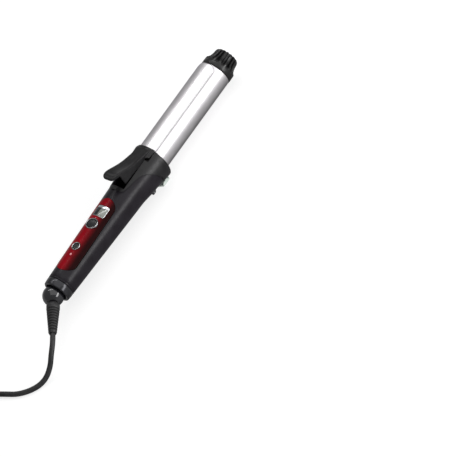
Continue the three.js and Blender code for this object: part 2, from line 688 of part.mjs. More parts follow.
// ---- the whole object ----
const barrelBore = BARREL_RADIUS - BARREL_WALL;
add("barrel_tube", ringAlongX(BARREL_START, BARREL_END, barrelBore, BARREL_RADIUS, 40), satinMetal());
add("cool_tip", coolTip(), matteBlack());
add("heater_element", box(182, 296, -4.2, 4.2, -2, 2), ceramic());
add("heat_spreader_upper", heatSpreader(1), steel());
add("heat_spreader_lower", heatSpreader(-1), steel());
add("barrel_seat_ring", barrelSeatRing(), ceramic());
add("tip_holder", rodAlongX(299, 321, 0, 0, 3.9, 16), ceramic());
add("temperature_sensor", rodAlongX(188, 200, 0, 11, 1.2), brass());
add("thermal_fuse", rodAlongX(188, 200, 0, -11, 1.6), steel());
add("heater_lead_live", heaterLead(4), finish(0xb02020, 0.6, 0));
add("heater_lead_neutral", heaterLead(-4), finish(0xe8e8e8, 0.6, 0));

add("clip_plate", clipPlate(), satinMetal());
add("clip_lever", clipLever(), matteBlack());
add("clip_rivet_front", clipRivet(rivets[1]), steel());
add("clip_rivet_rear", clipRivet(rivets[0]), steel());
add("lever_pivot_pin", rodAlongY(PIVOT_X, PIVOT_Z, -12.2, 12.2, PIVOT_RADIUS), steel());
add("lever_spring", leverSpring(), steel());

add("collar", collar(), matteBlack());
add("rest_stand", restStand(), finish(0xc4ccc6, 0.5, 0.2));
add("stand_pivot_pin", rodAlongY(STAND_PIVOT_X, STAND_PIVOT_Z, -8.4, 8.4, 0.95), steel());

add("handle_shell", handleShell(), glossBlack());
add("handle_back_cover", handleBackCover(), glossBlack());
add("cover_screw_rear", coverScrew(coverScrews[0]), steel());
add("cover_screw_front", coverScrew(coverScrews[1]), steel());
add("end_ring", endRing(), finish(0x4a4a50, 0.25, 0.8));

add("control_panel", controlPanel(), finish(0x8c0a1c, 0.12, 0));
add("lcd_frame", lcdFrame(), chrome());
add("lcd_display", box(DISPLAY_X - 6.6, DISPLAY_X + 6.6, -7.6, 7.6, 11.4, 13.4), finish(0x8a8f88, 0.3, 0));
const rockerTop = handleRadius(ROCKER_X);
add("rocker_ring", ovalRing(ROCKER_X, 6.8, 7.8, 1.2, rockerTop - 3, rockerTop + 0.7), chrome());
add("temperature_rocker", temperatureRocker(), matteBlack());
add("power_button_ring", powerButtonRing(), chrome());
add("power_button", powerButton(), matteBlack());
const lampPink = () => finish(0xe0a0a0, 0.2, 0);
const settingLampTop = handleRadius(SETTING_LAMP_X) + 0.1;
add("indicator_lens", rodAlongZ(LAMP_X, 0, 13.6, handleRadius(LAMP_X) + 0.1, 1.4), lampPink());
add("setting_lamp", rodAlongZ(SETTING_LAMP_X, 0, 14, settingLampTop, 0.6, 10), lampPink());

add("main_circuit_board", circuitBoard(), finish(0x1f5a34, 0.5, 0));
add("power_switch", switchUnder(POWER_X, powerButtonBottom), matteBlack());
add("rocker_switch_up", switchUnder(ROCKER_X + 3.2, rockerBottom), matteBlack());
add("rocker_switch_down", switchUnder(ROCKER_X - 3.2, rockerBottom), matteBlack());
add("board_capacitor", box(106, 120, -8, 0.6, BOARD_TOP + GAP, BOARD_TOP + 8), finish(0x7a6a30, 0.5, 0));
add("board_triac", box(106, 116, 3, 9, BOARD_TOP + GAP, BOARD_TOP + 4.4), matteBlack());
add("swivel_socket", swivelSocket(), matteBlack());
add("swivel_brush_live", swivelBrush(1), brass());
add("swivel_brush_neutral", swivelBrush(-1), brass());

add("swivel_ball", swivelBall(), glossBlack());
add("cord_guard", cordGuard(), rubber());

const part = new THREE.Group();
part.add(wand);
function addCordPiece(name, made, material) {
  add(name, made, material);
  part.attach(wand.children.at(-1));
  part.children.at(-1).position.set(0, 0, 0);
}
addCordPiece("power_cord", bar(cordRoute, CORD_DIAMETER / 2, 8, 46), rubber());
addCordPiece("power_cord_tail", bar(tailRoute, CORD_DIAMETER / 2, 8, 6), rubber());
addCordPiece("cord_coil", cordCoil(), rubber());
addCordPiece("cord_tie", cordTie(), matteBlack());
addCordPiece("plug_body", plugBody(), rubber());
addCordPiece("plug_pin_live", plugPin(plugPins[0], 0), brass());
addCordPiece("plug_pin_neutral", plugPin(plugPins[1], 0), brass());

export default part;
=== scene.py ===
"""Looks of the curling iron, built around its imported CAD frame. Lengths in the helpers are millimetres on the
wand's own axes: x from the handle's end towards the cool tip, z up, both measured from the handle's axis."""

import json
import math

import bmesh
import bpy
from mathutils import Matrix, Vector


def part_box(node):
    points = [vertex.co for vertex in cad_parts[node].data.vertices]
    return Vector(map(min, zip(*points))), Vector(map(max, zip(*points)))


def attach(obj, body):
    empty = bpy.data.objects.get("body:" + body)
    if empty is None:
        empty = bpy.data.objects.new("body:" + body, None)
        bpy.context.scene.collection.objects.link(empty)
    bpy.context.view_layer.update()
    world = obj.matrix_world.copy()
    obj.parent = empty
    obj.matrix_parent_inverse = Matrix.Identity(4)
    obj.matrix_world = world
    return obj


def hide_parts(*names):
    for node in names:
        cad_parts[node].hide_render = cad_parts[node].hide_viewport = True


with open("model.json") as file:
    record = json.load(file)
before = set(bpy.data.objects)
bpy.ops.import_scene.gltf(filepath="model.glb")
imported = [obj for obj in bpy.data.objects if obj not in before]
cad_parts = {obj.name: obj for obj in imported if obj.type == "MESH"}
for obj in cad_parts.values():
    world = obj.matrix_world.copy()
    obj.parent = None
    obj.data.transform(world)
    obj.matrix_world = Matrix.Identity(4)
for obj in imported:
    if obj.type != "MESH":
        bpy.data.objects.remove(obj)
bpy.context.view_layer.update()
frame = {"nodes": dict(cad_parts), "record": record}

MM = 0.001
RING_LOW, RING_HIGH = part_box("end_ring")
ORIGIN = Vector((RING_LOW.x, 0.0, (RING_LOW.z + RING_HIGH.z) / 2))


def place(x, y, z):
    """A point given in millimetres on the wand's axes, in the row frame in metres."""
    return ORIGIN + Vector((x, y, z)) * MM


def local(node):
    """A CAD node's box on the wand's axes, in millimetres."""
    low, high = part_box(node)
    return (low - ORIGIN) / MM, (high - ORIGIN) / MM


# ---------------------------------------------------------------- driving dimensions, from the frame
BARREL_LOW, BARREL_HIGH = local("barrel_tube")
BARREL_RADIUS = BARREL_HIGH.z
CLIP_LOW, CLIP_HIGH = local("clip_plate")
CLIP_OUTER = CLIP_HIGH.z
CLIP_HALF_WIDTH = CLIP_HIGH.y
CLIP_CORNER = 7.0
CLIP_SLOPE = 1.8
LEVER_LOW, LEVER_HIGH = local("clip_lever")
TIP_LOW, TIP_HIGH = local("cool_tip")
PANEL_LOW, PANEL_HIGH = local("control_panel")
SHELL_START = local("handle_shell")[0].x
COVER_LOW, COVER_HIGH = local("handle_back_cover")
STAND_LOW, STAND_HIGH = local("rest_stand")
BALL_LOW, BALL_HIGH = local("swivel_ball")
BALL_RADIUS = BALL_HIGH.y
BALL_X = BALL_LOW.x + BALL_RADIUS
STEM_RADIUS = 4.6

HANDLE_END_RADIUS = 15.8
HANDLE_TAPER = 0.0303
FULL_TURN = 2 * math.pi

# The lever's slot through the collar and the handle, and the axes across the wand that two pieces turn on.
SLOT_START = 132.3
SLOT_HALF = 9.2
LEVER_PIVOT = (Vector((166, 0, 14)), Vector((0, 1, 0)))
STAND_PIVOT = (Vector((160, 0, -24.4)), Vector((0, 1, 0)))
SCREW_X = {"cover_screw_rear": 34, "cover_screw_front": 112}
# Below this x the barrel's and the clip's metal is painted nearly black: painted shade inside the collar and
# under the lever's root.
PAINTED_SHADE_BELOW = place(182, 0, 0).x


def handle_radius(x):
    return HANDLE_END_RADIUS + HANDLE_TAPER * x


def add_object(name, data):
    obj = bpy.data.objects.new(name, data)
    bpy.context.scene.collection.objects.link(obj)
    return obj


# ---------------------------------------------------------------- camera
def make_camera():
    """The view of the photograph: from the side and above, with the tip leading up to the right."""
    right = Vector((0.5550, -0.7241, -0.4094)).normalized()
    back = Vector((-0.3090, -0.6364, 0.7067)).normalized()
    up = back.cross(right).normalized()
    right = up.cross(back)
    frame_width = 0.5094
    across, above = 0.1943, 0.0683
    data = bpy.data.cameras.new("camera")
    data.lens = 600
    data.sensor_width = 36
    distance = frame_width * data.lens / data.sensor_width
    centre = ORIGIN + right * across + up * above
    camera = add_object("camera", data)
    turn = Matrix((right, up, back)).transposed().to_4x4()
    camera.matrix_world = Matrix.Translation(centre + back * distance) @ turn
    data.clip_end = 50
    bpy.context.scene.camera = camera


make_camera()


# ---------------------------------------------------------------- mesh helpers
def new_object(name, verts, faces):
    """A closed mesh with its faces turned outwards. The points are in metres, in the row frame."""
    mesh = bpy.data.meshes.new(name)
    mesh.from_pydata([tuple(v) for v in verts], [], faces)
    obj = add_object(name, mesh)
    clean(obj)
    return obj


def clean(obj, merge=1e-6):
    work = bmesh.new()
    work.from_mesh(obj.data)
    bmesh.ops.remove_doubles(work, verts=work.verts, dist=merge)
    bmesh.ops.dissolve_degenerate(work, edges=work.edges, dist=merge)
    bmesh.ops.recalc_face_normals(work, faces=work.faces)
    work.to_mesh(obj.data)
    work.free()


def smooth(obj, angle=32):
    """Smooth shading, with edges sharper than the angle kept crisp."""
    work = bmesh.new()
    work.from_mesh(obj.data)
    limit = math.radians(angle)
    for face in work.faces:
        face.smooth = True
    for edge in work.edges:
        edge.smooth = len(edge.link_faces) == 2 and edge.calc_face_angle(0) < limit
    work.to_mesh(obj.data)
    work.free()
    return obj


def apply_modifier(obj, kind, **settings):
    modifier = obj.modifiers.new(kind.lower(), kind)
    for key, value in settings.items():
        setattr(modifier, key, value)
    graph = bpy.context.evaluated_depsgraph_get()
    made = bpy.data.meshes.new_from_object(obj.evaluated_get(graph))
    obj.modifiers.clear()
    old = obj.data
    obj.data = made
    bpy.data.meshes.remove(old)
    return obj


def combine(obj, other, operation):
    """A boolean of two closed meshes; the second is used up."""
    apply_modifier(obj, "BOOLEAN", operation=operation, object=other, solver="EXACT")
    mesh = other.data
    bpy.data.objects.remove(other)
    bpy.data.meshes.remove(mesh)
    return obj


def cut(obj, *others):
    for other in others:
        combine(obj, other, "DIFFERENCE")
    return obj


def join(obj, *others):
    for other in others:
        combine(obj, other, "UNION")
    return obj


def bevel(obj, width, segments=3, angle=35):
    return apply_modifier(
        obj, "BEVEL", width=width * MM, segments=segments, limit_method="ANGLE",
        angle_limit=math.radians(angle), use_clamp_overlap=True,
    )


def loft(name, rings, close_ends=True, loop=False):
    """Joins rings of equally many points. The points are in metres."""
    count = len(rings[0])
    verts = [point for ring in rings for point in ring]
    faces = []
    steps = len(rings) if loop else len(rings) - 1
    for i in range(steps):
        low = i * count
        high = ((i + 1) % len(rings)) * count
        for j in range(count):
            k = (j + 1) % count
            faces.append((low + j, low + k, high + k, high + j))
    if close_ends and not loop:
        faces.append(tuple(range(count)))
        faces.append(tuple(range(len(verts) - count, len(verts))))
    return new_object(name, verts, faces)


def revolve(name, profile, segments=128, axis=None):
    """A profile of (along, radius) pairs turned about the wand's axis, or about axis = (point, direction) in
    millimetres. A profile that closes on itself gives a ring; any other starts and ends on the axis."""
    start, direction = (Vector((0, 0, 0)), Vector((1, 0, 0))) if axis is None else axis
    direction = direction.normalized()
    side = direction.orthogonal().normalized() if axis else Vector((0, 1, 0))
    other = direction.cross(side)
    closed = (Vector(profile[0]) - Vector(profile[-1])).length < 1e-9
    points = profile[:-1] if closed else profile
    rings = []
    for step in range(segments):
        turn = FULL_TURN * step / segments
        out = side * math.cos(turn) + other * math.sin(turn)
        rings.append([place(*(start + direction * a + out * r)) for a, r in points])
    count = len(points)
    faces = []
    for i in range(segments):
        low, high = i * count, ((i + 1) % segments) * count
        for j in range(count if closed else count - 1):
            k = (j + 1) % count
            faces.append((low + j, low + k, high + k, high + j))
    return new_object(name, [p for ring in rings for p in ring], faces)


def rod(name, low, high, radius, segments, axis=None):
    """A plain round bar, mostly used to cut holes."""
    return revolve(name, [(low, 0), (low, radius), (high, radius), (high, 0)], segments, axis)


def upright(x, z=0.0, way=1):
    """An axis up, or down for way -1, through the wand's middle at x."""
    return Vector((x, 0, z)), Vector((0, 0, way))


def prism(name, outline, low, high, axis):
    """An outline given a height along an axis. It is in (x, z) for axis Y, and in (x, y) for axis Z."""
    def at(a, b, height):
        return place(a, height, b) if axis == "Y" else place(a, b, height)
    return loft(name, [[at(a, b, low) for a, b in outline], [at(a, b, high) for a, b in outline]])


def ellipse(x, y, half_x, half_y, count=64):
    turns = [FULL_TURN * i / count for i in range(count)]
    return [(x + half_x * math.cos(t), y + half_y * math.sin(t)) for t in turns]


def rectangle(x0, x1, y0, y1, corner=0.0, count=6):
    """A rectangle with round corners, counter-clockwise."""
    if corner <= 0:
        return [(x0, y0), (x1, y0), (x1, y1), (x0, y1)]
    centres = [(x1 - corner, y1 - corner), (x0 + corner, y1 - corner), (x0 + corner, y0 + corner),
               (x1 - corner, y0 + corner)]
    points = []
    for quarter, (cx, cy) in enumerate(centres):
        for i in range(count + 1):
            turn = math.pi / 2 * (quarter + i / count)
            points.append((cx + corner * math.cos(turn), cy + corner * math.sin(turn)))
    return points


def block(name, x0, x1, y0, y1, z0, z1, corner=0.0):
    return prism(name, rectangle(x0, x1, y0, y1, corner), z0, z1, "Z")


def curve_through(points, per_span=8):
    """A Catmull-Rom line through points of any dimension, with its ends mirrored."""
    rows = [Vector(p) for p in points]
    rows = [rows[0] * 2 - rows[1]] + rows + [rows[-1] * 2 - rows[-2]]
    line = []
    for i in range(1, len(rows) - 2):
        a, b, c, d = rows[i - 1:i + 3]
        for j in range(per_span):
            t = j / per_span
            line.append(0.5 * (2 * b + (c - a) * t + (2 * a - 5 * b + 4 * c - d) * t ** 2
                               + (3 * b - a - 3 * c + d) * t ** 3))
    return line + [rows[-2]]


SAG = 1.8
SAG_START = 140.0
RIM_X = 186.0


def sag(x):
    """How much lower than the axis the collar and the handle's front hang at x."""
    return SAG * max(0.0, (x - SAG_START) / (RIM_X - SAG_START))


def ease(value, start, end):
    t = min(1.0, max(0.0, (value - start) / (end - start)))
    return t * t * (3 - 2 * t)


def finish_piece(obj, material, body, slot, *nodes, angle=32):
    """Gives the piece its material, makes the piece ride on its body, and lets it stand for its CAD nodes."""
    smooth(obj, angle)
    obj.data.materials.clear()
    obj.data.materials.append(material)
    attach(obj, body)
    if nodes:
        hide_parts(*nodes)
    return obj


# ---------------------------------------------------------------- materials
def new_material(name, **sockets):
    """A material whose even values sit on the shader's own sockets, with its nodes, links and shader."""
    material = bpy.data.materials.new(name)
    material.use_nodes = True
    nodes, links = material.node_tree.nodes, material.node_tree.links
    shader = nodes["Principled BSDF"]
    for socket, value in sockets.items():
        shader.inputs[socket.replace("_", " ")].default_value = value
    return material, nodes, links, shader


def noise(nodes, links, scale, detail=4.0, stretch=(1, 1, 1), roughness=0.55):
    """Noise in the object's own space, so that it stays with the piece."""
    where = nodes.new("ShaderNodeTexCoord")
    mapping = nodes.new("ShaderNodeMapping")
    mapping.inputs["Scale"].default_value = stretch
    texture = nodes.new("ShaderNodeTexNoise")
    texture.inputs["Scale"].default_value = scale
    texture.inputs["Detail"].default_value = detail
    texture.inputs["Roughness"].default_value = roughness
    links.new(where.outputs["Object"], mapping.inputs["Vector"])
    links.new(mapping.outputs["Vector"], texture.inputs["Vector"])
    return texture.outputs["Fac"]


def two_colours(nodes, links, factor, colour_a, colour_b, low=0.35, high=0.65):
    ramp = nodes.new("ShaderNodeValToRGB")
    ramp.color_ramp.elements[0].position = low
    ramp.color_ramp.elements[0].color = (*colour_a, 1)
    ramp.color_ramp.elements[1].position = high
    ramp.color_ramp.elements[1].color = (*colour_b, 1)
    links.new(factor, ramp.inputs["Fac"])
    return ramp.outputs["Color"]


def spread(nodes, links, factor, low, high, edge=0.3):
    """Noise turned into a number between low and high."""
    remap = nodes.new("ShaderNodeMapRange")
    remap.inputs["From Min"].default_value = edge
    remap.inputs["From Max"].default_value = 1 - edge
    remap.inputs["To Min"].default_value = low
    remap.inputs["To Max"].default_value = high
    links.new(factor, remap.inputs["Value"])
    return remap.outputs["Result"]


def object_axis(nodes, links, axis):
    """One coordinate in the object's own space, in metres."""
    where = nodes.new("ShaderNodeTexCoord")
    split = nodes.new("ShaderNodeSeparateXYZ")
    links.new(where.outputs["Object"], split.inputs["Vector"])
    return split.outputs[axis]


def multiplied(nodes, links, colour, other):
    mix = nodes.new("ShaderNodeMix")
    mix.data_type = "RGBA"
    mix.blend_type = "MULTIPLY"
    mix.inputs["Factor"].default_value = 1.0
    links.new(colour, mix.inputs["A"])
    links.new(other, mix.inputs["B"])
    return mix.outputs["Result"]


def bump(nodes, links, shader, height, strength, distance):
    node = nodes.new("ShaderNodeBump")
    node.inputs["Strength"].default_value = strength
    node.inputs["Distance"].default_value = distance
    links.new(height, node.inputs["Height"])
    links.new(node.outputs["Normal"], shader.inputs["Normal"])


def surface(name, dark, light, rough, patch=90.0, grain=2500.0, grain_height=0.00002, grain_strength=0.4,
            stretch=(1, 1, 1), grain_stretch=(1, 1, 1), burnt=None, **sockets):
    """A finish with faint patches of colour, uneven gloss and a fine grain. Below the given x, in metres in
    the row frame, it is darkened nearly to black as painted shade, inside the collar's seat and under the
    lever's root."""
    material, nodes, links, shader = new_material(name, **sockets)
    patches = noise(nodes, links, patch, stretch=stretch)
    colour = two_colours(nodes, links, patches, dark, light)
    # Painted shade: the colour falls to near black below the given x.
    if burnt is not None:
        painted_shade = nodes.new("ShaderNodeMapRange")
        painted_shade.inputs["From Min"].default_value = burnt - 0.002
        painted_shade.inputs["From Max"].default_value = burnt
        painted_shade.inputs["To Min"].default_value = 0.02
        links.new(object_axis(nodes, links, "X"), painted_shade.inputs["Value"])
        colour = multiplied(nodes, links, colour, painted_shade.outputs["Result"])
    links.new(colour, shader.inputs["Base Color"])
    gloss = noise(nodes, links, patch * 3, stretch=stretch)
    links.new(spread(nodes, links, gloss, *rough), shader.inputs["Roughness"])
    fine = noise(nodes, links, grain, detail=2.0, stretch=grain_stretch)
    bump(nodes, links, shader, fine, grain_strength, grain_height)
    return material


brushed = {
    "patch": 40, "grain": 900, "grain_stretch": (0.12, 1, 1), "grain_height": 0.000012, "grain_strength": 0.2,
    "Metallic": 1.0, "burnt": PAINTED_SHADE_BELOW, "Specular_Tint": (0.12, 0.11, 0.13, 1.0),
}
barrel_metal = surface("barrel_metal", (0.82, 0.80, 0.82), (0.88, 0.86, 0.88), (0.36, 0.44), **brushed)
clip_metal = surface("clip_metal", (0.84, 0.82, 0.84), (0.90, 0.88, 0.90), (0.34, 0.42), **brushed)
steel = surface("plain_steel", (0.48, 0.49, 0.51), (0.62, 0.63, 0.65), (0.25, 0.4), Metallic=1.0)
brass = surface("brass", (0.62, 0.44, 0.16), (0.75, 0.56, 0.24), (0.2, 0.35), Metallic=1.0)
chrome = surface("chrome", (0.66, 0.66, 0.68), (0.76, 0.76, 0.78), (0.1, 0.18), Metallic=1.0,
                 grain_height=0.000005, grain_strength=0.1)
smoked_chrome = surface("smoked_chrome", (0.40, 0.39, 0.40), (0.52, 0.51, 0.52), (0.04, 0.08), Metallic=1.0,
                        grain_height=0.000005, grain_strength=0.1)
# Dark steel for the clip's sloped long edges: a painted shadow of the gap along the clip's edge.
painted_edge_shadow = surface("painted_edge_shadow", (0.20, 0.19, 0.19), (0.30, 0.29, 0.29), (0.4, 0.55), Metallic=0.9,
                    grain_height=0.000005, grain_strength=0.1)
gunmetal = surface("gunmetal", (0.028, 0.028, 0.032), (0.045, 0.045, 0.05), (0.16, 0.24), Metallic=0.6,
                   grain_height=0.000006, grain_strength=0.15)
handle_gloss = surface(
    "handle_gloss", (0.009, 0.007, 0.010), (0.014, 0.012, 0.016), (0.27, 0.35), patch=60, grain=1500,
    grain_height=0.000008, grain_strength=0.2, Specular_IOR_Level=0.22,
)
ball_gloss = surface("ball_gloss", (0.008, 0.008, 0.010), (0.014, 0.014, 0.017), (0.07, 0.13),
                     grain_height=0.000006, grain_strength=0.15, Specular_IOR_Level=0.8)
black_matte = surface(
    "black_matte", (0.006, 0.0057, 0.0065), (0.012, 0.0115, 0.0125), (0.32, 0.42), patch=120, grain=3200,
    grain_height=0.00003, grain_strength=0.4, Specular_IOR_Level=0.36,
)
tip_matte = surface("tip_matte", (0.0025, 0.0025, 0.0025), (0.006, 0.0055, 0.006), (0.28, 0.38), patch=200,
                    grain=3200, grain_height=0.00003)
button_black = surface("button_black", (0.006, 0.006, 0.007), (0.013, 0.013, 0.015), (0.16, 0.26), grain=2200,
                       grain_height=0.00001)
stand_grey = surface("stand_grey", (0.50, 0.56, 0.53), (0.60, 0.66, 0.62), (0.35, 0.5), grain=1800)
cord_rubber = surface("cord_rubber", (0.010, 0.010, 0.011), (0.020, 0.020, 0.021), (0.42, 0.58), patch=150,
                      grain=2600, grain_height=0.00004, grain_strength=0.5)
ceramic = surface("ceramic", (0.66, 0.61, 0.50), (0.78, 0.74, 0.64), (0.55, 0.75))
circuit_board = surface("circuit_board", (0.008, 0.06, 0.025), (0.02, 0.12, 0.05), (0.3, 0.45), patch=300)
wire_red = surface("wire_red", (0.30, 0.01, 0.01), (0.42, 0.02, 0.02), (0.4, 0.55))
wire_white = surface("wire_white", (0.60, 0.60, 0.58), (0.72, 0.72, 0.70), (0.4, 0.55))
lamp_frost = surface("lamp_frost", (0.55, 0.16, 0.18), (0.80, 0.38, 0.40), (0.2, 0.35), patch=900,
                     Emission_Color=(1.0, 0.45, 0.45, 1.0), Emission_Strength=0.1)
display_black = surface("display_black", (0.010, 0.010, 0.011), (0.016, 0.016, 0.018), (0.1, 0.2), grain=2200,
                        grain_height=0.000006)


def red_inlay():
    """Deep red lacquer with soft clouds and a fine sparkle, darkened towards the handle's right side as painted
    shade.
    """
    material, nodes, links, shader = new_material("red_inlay", Specular_IOR_Level=0.07)
    clouds = noise(nodes, links, 55.0, detail=3.0)
    base = two_colours(nodes, links, clouds, (0.23, 0.0008, 0.006), (0.33, 0.0012, 0.009), 0.3, 0.7)
    flakes = noise(nodes, links, 5200.0, detail=0.0)
    sparkle = two_colours(nodes, links, flakes, (0.85, 0.85, 0.85), (1.25, 1.2, 1.2), 0.45, 0.75)
    # Painted shade: the red falls to near black towards the handle's right side, which turns away from the
    # light.
    painted_side_shade = nodes.new("ShaderNodeMapRange")
    painted_side_shade.interpolation_type = "SMOOTHSTEP"
    painted_side_shade.inputs["From Min"].default_value = PANEL_LOW.y * MM * 0.8
    painted_side_shade.inputs["From Max"].default_value = 0.001
    painted_side_shade.inputs["To Min"].default_value = 0.05
    painted_side_shade.inputs["To Max"].default_value = 1.0
    links.new(object_axis(nodes, links, "Y"), painted_side_shade.inputs["Value"])
    colour = base
    for other in (sparkle, painted_side_shade.outputs["Result"]):
        colour = multiplied(nodes, links, colour, other)
    links.new(colour, shader.inputs["Base Color"])
    links.new(spread(nodes, links, clouds, 0.2, 0.32), shader.inputs["Roughness"])
    bump(nodes, links, shader, flakes, 0.08, 0.00001)
    return material


def display_glass():
    """Grey-green liquid crystal glass with a faint grid of segments."""
    material, nodes, links, shader = new_material("display_glass", Coat_Weight=0.8, Coat_Roughness=0.05)
    where = nodes.new("ShaderNodeTexCoord")
    grid = nodes.new("ShaderNodeTexBrick")
    grid.inputs["Scale"].default_value = 420.0
    grid.inputs["Mortar Size"].default_value = 0.04
    grid.inputs["Color1"].default_value = (0.25, 0.265, 0.235, 1)
    grid.inputs["Color2"].default_value = (0.29, 0.305, 0.27, 1)
    grid.inputs["Mortar"].default_value = (0.20, 0.21, 0.19, 1)
    links.new(where.outputs["Object"], grid.inputs["Vector"])
    links.new(grid.outputs["Color"], shader.inputs["Base Color"])
    clouds = noise(nodes, links, 260.0)
    links.new(spread(nodes, links, clouds, 0.12, 0.25), shader.inputs["Roughness"])
    return material


red_panel = red_inlay()
lcd_glass = display_glass()

SLOT_MATERIALS = {
    "barrel_metal": barrel_metal, "steel": steel, "brass": brass, "chrome": chrome, "gunmetal": gunmetal,
    "handle_gloss": handle_gloss, "black_matte": black_matte, "red_panel": red_panel,
    "display_glass": lcd_glass, "lamp": lamp_frost, "stand_grey": stand_grey, "ceramic": ceramic,
    "circuit_board": circuit_board, "wire_red": wire_red, "wire_white": wire_white,
    "cord_rubber": cord_rubber,
}


def dress_cad_nodes():
    """Gives each CAD node the material of its slot; a node that a piece stands for isn't shown."""
    for part in frame["record"]["subparts"]:
        for slot in frame["nodes"][part["node"]].material_slots:
            slot.material = SLOT_MATERIALS[part["material_slot"]]


dress_cad_nodes()
# Painted shade: the barrel's seat ring and the lever's pivot pin take the black finish in place of their own,
# to stand for the shade in the collar and the lever.
for painted_shade_node in ("barrel_seat_ring", "lever_pivot_pin"):
    for slot in frame["nodes"][painted_shade_node].material_slots:
        slot.material = black_matte


# ---------------------------------------------------------------- cord: guard, cord, coil, tie and plug
CORD_DIAMETER = 6.0
CORD_ROUTE = [
    (-176.2, -10.4, 27.5), (-187.3, -18.9, 27.5), (-198.4, -27.4, 27.5), (-206.4, -33.5, 27.1),
    (-214.9, -38.7, 25.5), (-224.5, -41.8, 20.9), (-234.4, -42.8, 12.8), (-244.3, -41.5, 6.4),
    (-253.7, -38.1, 3.5), (-262.1, -32.8, 3.1), (-269, -25.7, 3.1), (-274.4, -17.1, 3.1),
    (-278.2, -6.6, 3.1), (-281.9, 4.2, 3.1), (-285.9, 15.7, 3.1),
]
TAIL_ROUTE = [(-318.2, 49.3, 22), (-322.6, 51.5, 23.6), (-327, 52.5, 24.8), (-331.2, 52.7, 25.2)]
COIL_LOW, COIL_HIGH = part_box("cord_coil")
COIL_CENTRE = (COIL_LOW + COIL_HIGH) / 2 / MM
COIL_OUTER_TURN = (COIL_HIGH.x - COIL_LOW.x) / 2 / MM - CORD_DIAMETER / 2 - 0.2
CORD_WAY = Vector((-0.794, -0.608, 0)).normalized()
GUARD_START = Vector((BALL_X, 0, 0)) + CORD_WAY * (BALL_RADIUS - 1)
GUARD_LENGTH = 41.0


# Each shift or rise of the coil, in turns from its start: a strand moves over only where the place is free.
SHIFTS = [(5 / 6, -1, 0), (11 / 6, -1, 0), (8 / 3, 0, 1), (3.5, 1, 0), (4.5, 1, 0), (16 / 3, 0, 1),
          (37 / 6, -1, 0), (43 / 6, -1, 0)]
SHIFT_TURNS = 1 / 6
COIL_TURNS = 8.03
COIL_START = math.radians(19.0)


def coil_points():
    """Three turns inwards, three outwards on top of them, and two inwards again."""
    per_turn = 36
    points = []
    for i in range(int(COIL_TURNS * per_turn) + 1):
        turn = i / per_turn
        radius, height = COIL_OUTER_TURN, 3.1
        for start, outwards, upwards in SHIFTS:
            share = ease(turn, start, start + SHIFT_TURNS) * CORD_DIAMETER
            radius += outwards * share
            height += upwards * share
        angle = COIL_START + FULL_TURN * turn
        across, along = radius * math.cos(angle), radius * math.sin(angle)
        points.append((COIL_CENTRE.x + across, COIL_CENTRE.y + along, height))
    return points


def round_cord(name, points, diameter):
    """A curve of one open spline through points in millimetres in the row frame."""
    data = bpy.data.curves.new(name, "CURVE")
    data.dimensions = "3D"
    data.bevel_depth = diameter / 2 * MM
    data.bevel_resolution = 7
    data.use_fill_caps = True
    spline = data.splines.new("POLY")
    spline.points.add(len(points) - 1)
    for spot, point in zip(spline.points, points):
        spot.co = (*(Vector(point) * MM), 1.0)
    return add_object(name, data)


def cord_line():
    route = curve_through(CORD_ROUTE, 6)
    coil = coil_points()
    last_route, first_turn = Vector(route[-1]), Vector(coil[0])
    straight = [last_route.lerp(first_turn, i / 4) for i in range(1, 4)]
    rise = curve_through([coil[-2], coil[-1], (-312.3, 45.2, 18.4), *TAIL_ROUTE, (-338, 52.7, 25.2)], 8)
    return [*route, *straight, *coil, *rise[9:]]


def cord_guard():
    """A sleeve with a plain collar, then soft rings that get smaller towards the cord."""
    profile = [(1.6, 3.35), (1.6, 6.9), (2.1, 7.35), (4.6, 7.4), (8.2, 7.25), (8.7, 6.9)]
    pitch = 3.4
    along = 9.0
    while along + pitch < GUARD_LENGTH - 1:
        radius = 7.0 - 2.6 * (along - 9) / (GUARD_LENGTH - 9)
        profile += [(along + 0.25, radius - 1.15), (along + 0.9, radius - 1.25), (along + 1.15, radius - 0.5)]
        profile += [(along + 1.4, radius - 0.12), (along + 2.0, radius), (along + 2.9, radius - 0.1)]
        profile += [(along + 3.2, radius - 0.5)]
        along += pitch
    profile += [(GUARD_LENGTH - 0.6, 4.2), (GUARD_LENGTH, 3.9), (GUARD_LENGTH, 3.35), (1.6, 3.35)]
    return revolve("guard_sleeve", profile, 96, (GUARD_START, CORD_WAY))


def strap_loop():
    """A strap round the nine turns, as thin as paper where it passes under them."""
    low_y, high_y = COIL_CENTRE.y - COIL_OUTER_TURN - 3.7, COIL_CENTRE.y - COIL_OUTER_TURN + 15.7
    low_x, high_x = COIL_CENTRE.x - 4.5, COIL_CENTRE.x + 4.5
    inner = rectangle(low_y, high_y, 0.08, COIL_HIGH.z / MM + 0.2, 1.6)
    outer = rectangle(low_y - 1.1, high_y + 1.1, 0.03, COIL_HIGH.z / MM + 1.3, 2.4)
    sections = []
    for (y0, z0), (y1, z1) in zip(inner, outer):
        corners = [(low_x, y0, z0), (low_x, y1, z1), (high_x, y1, z1), (high_x, y0, z0)]
        sections.append([Vector(c) * MM for c in corners])
    return loft("tie_strap", sections, loop=True)


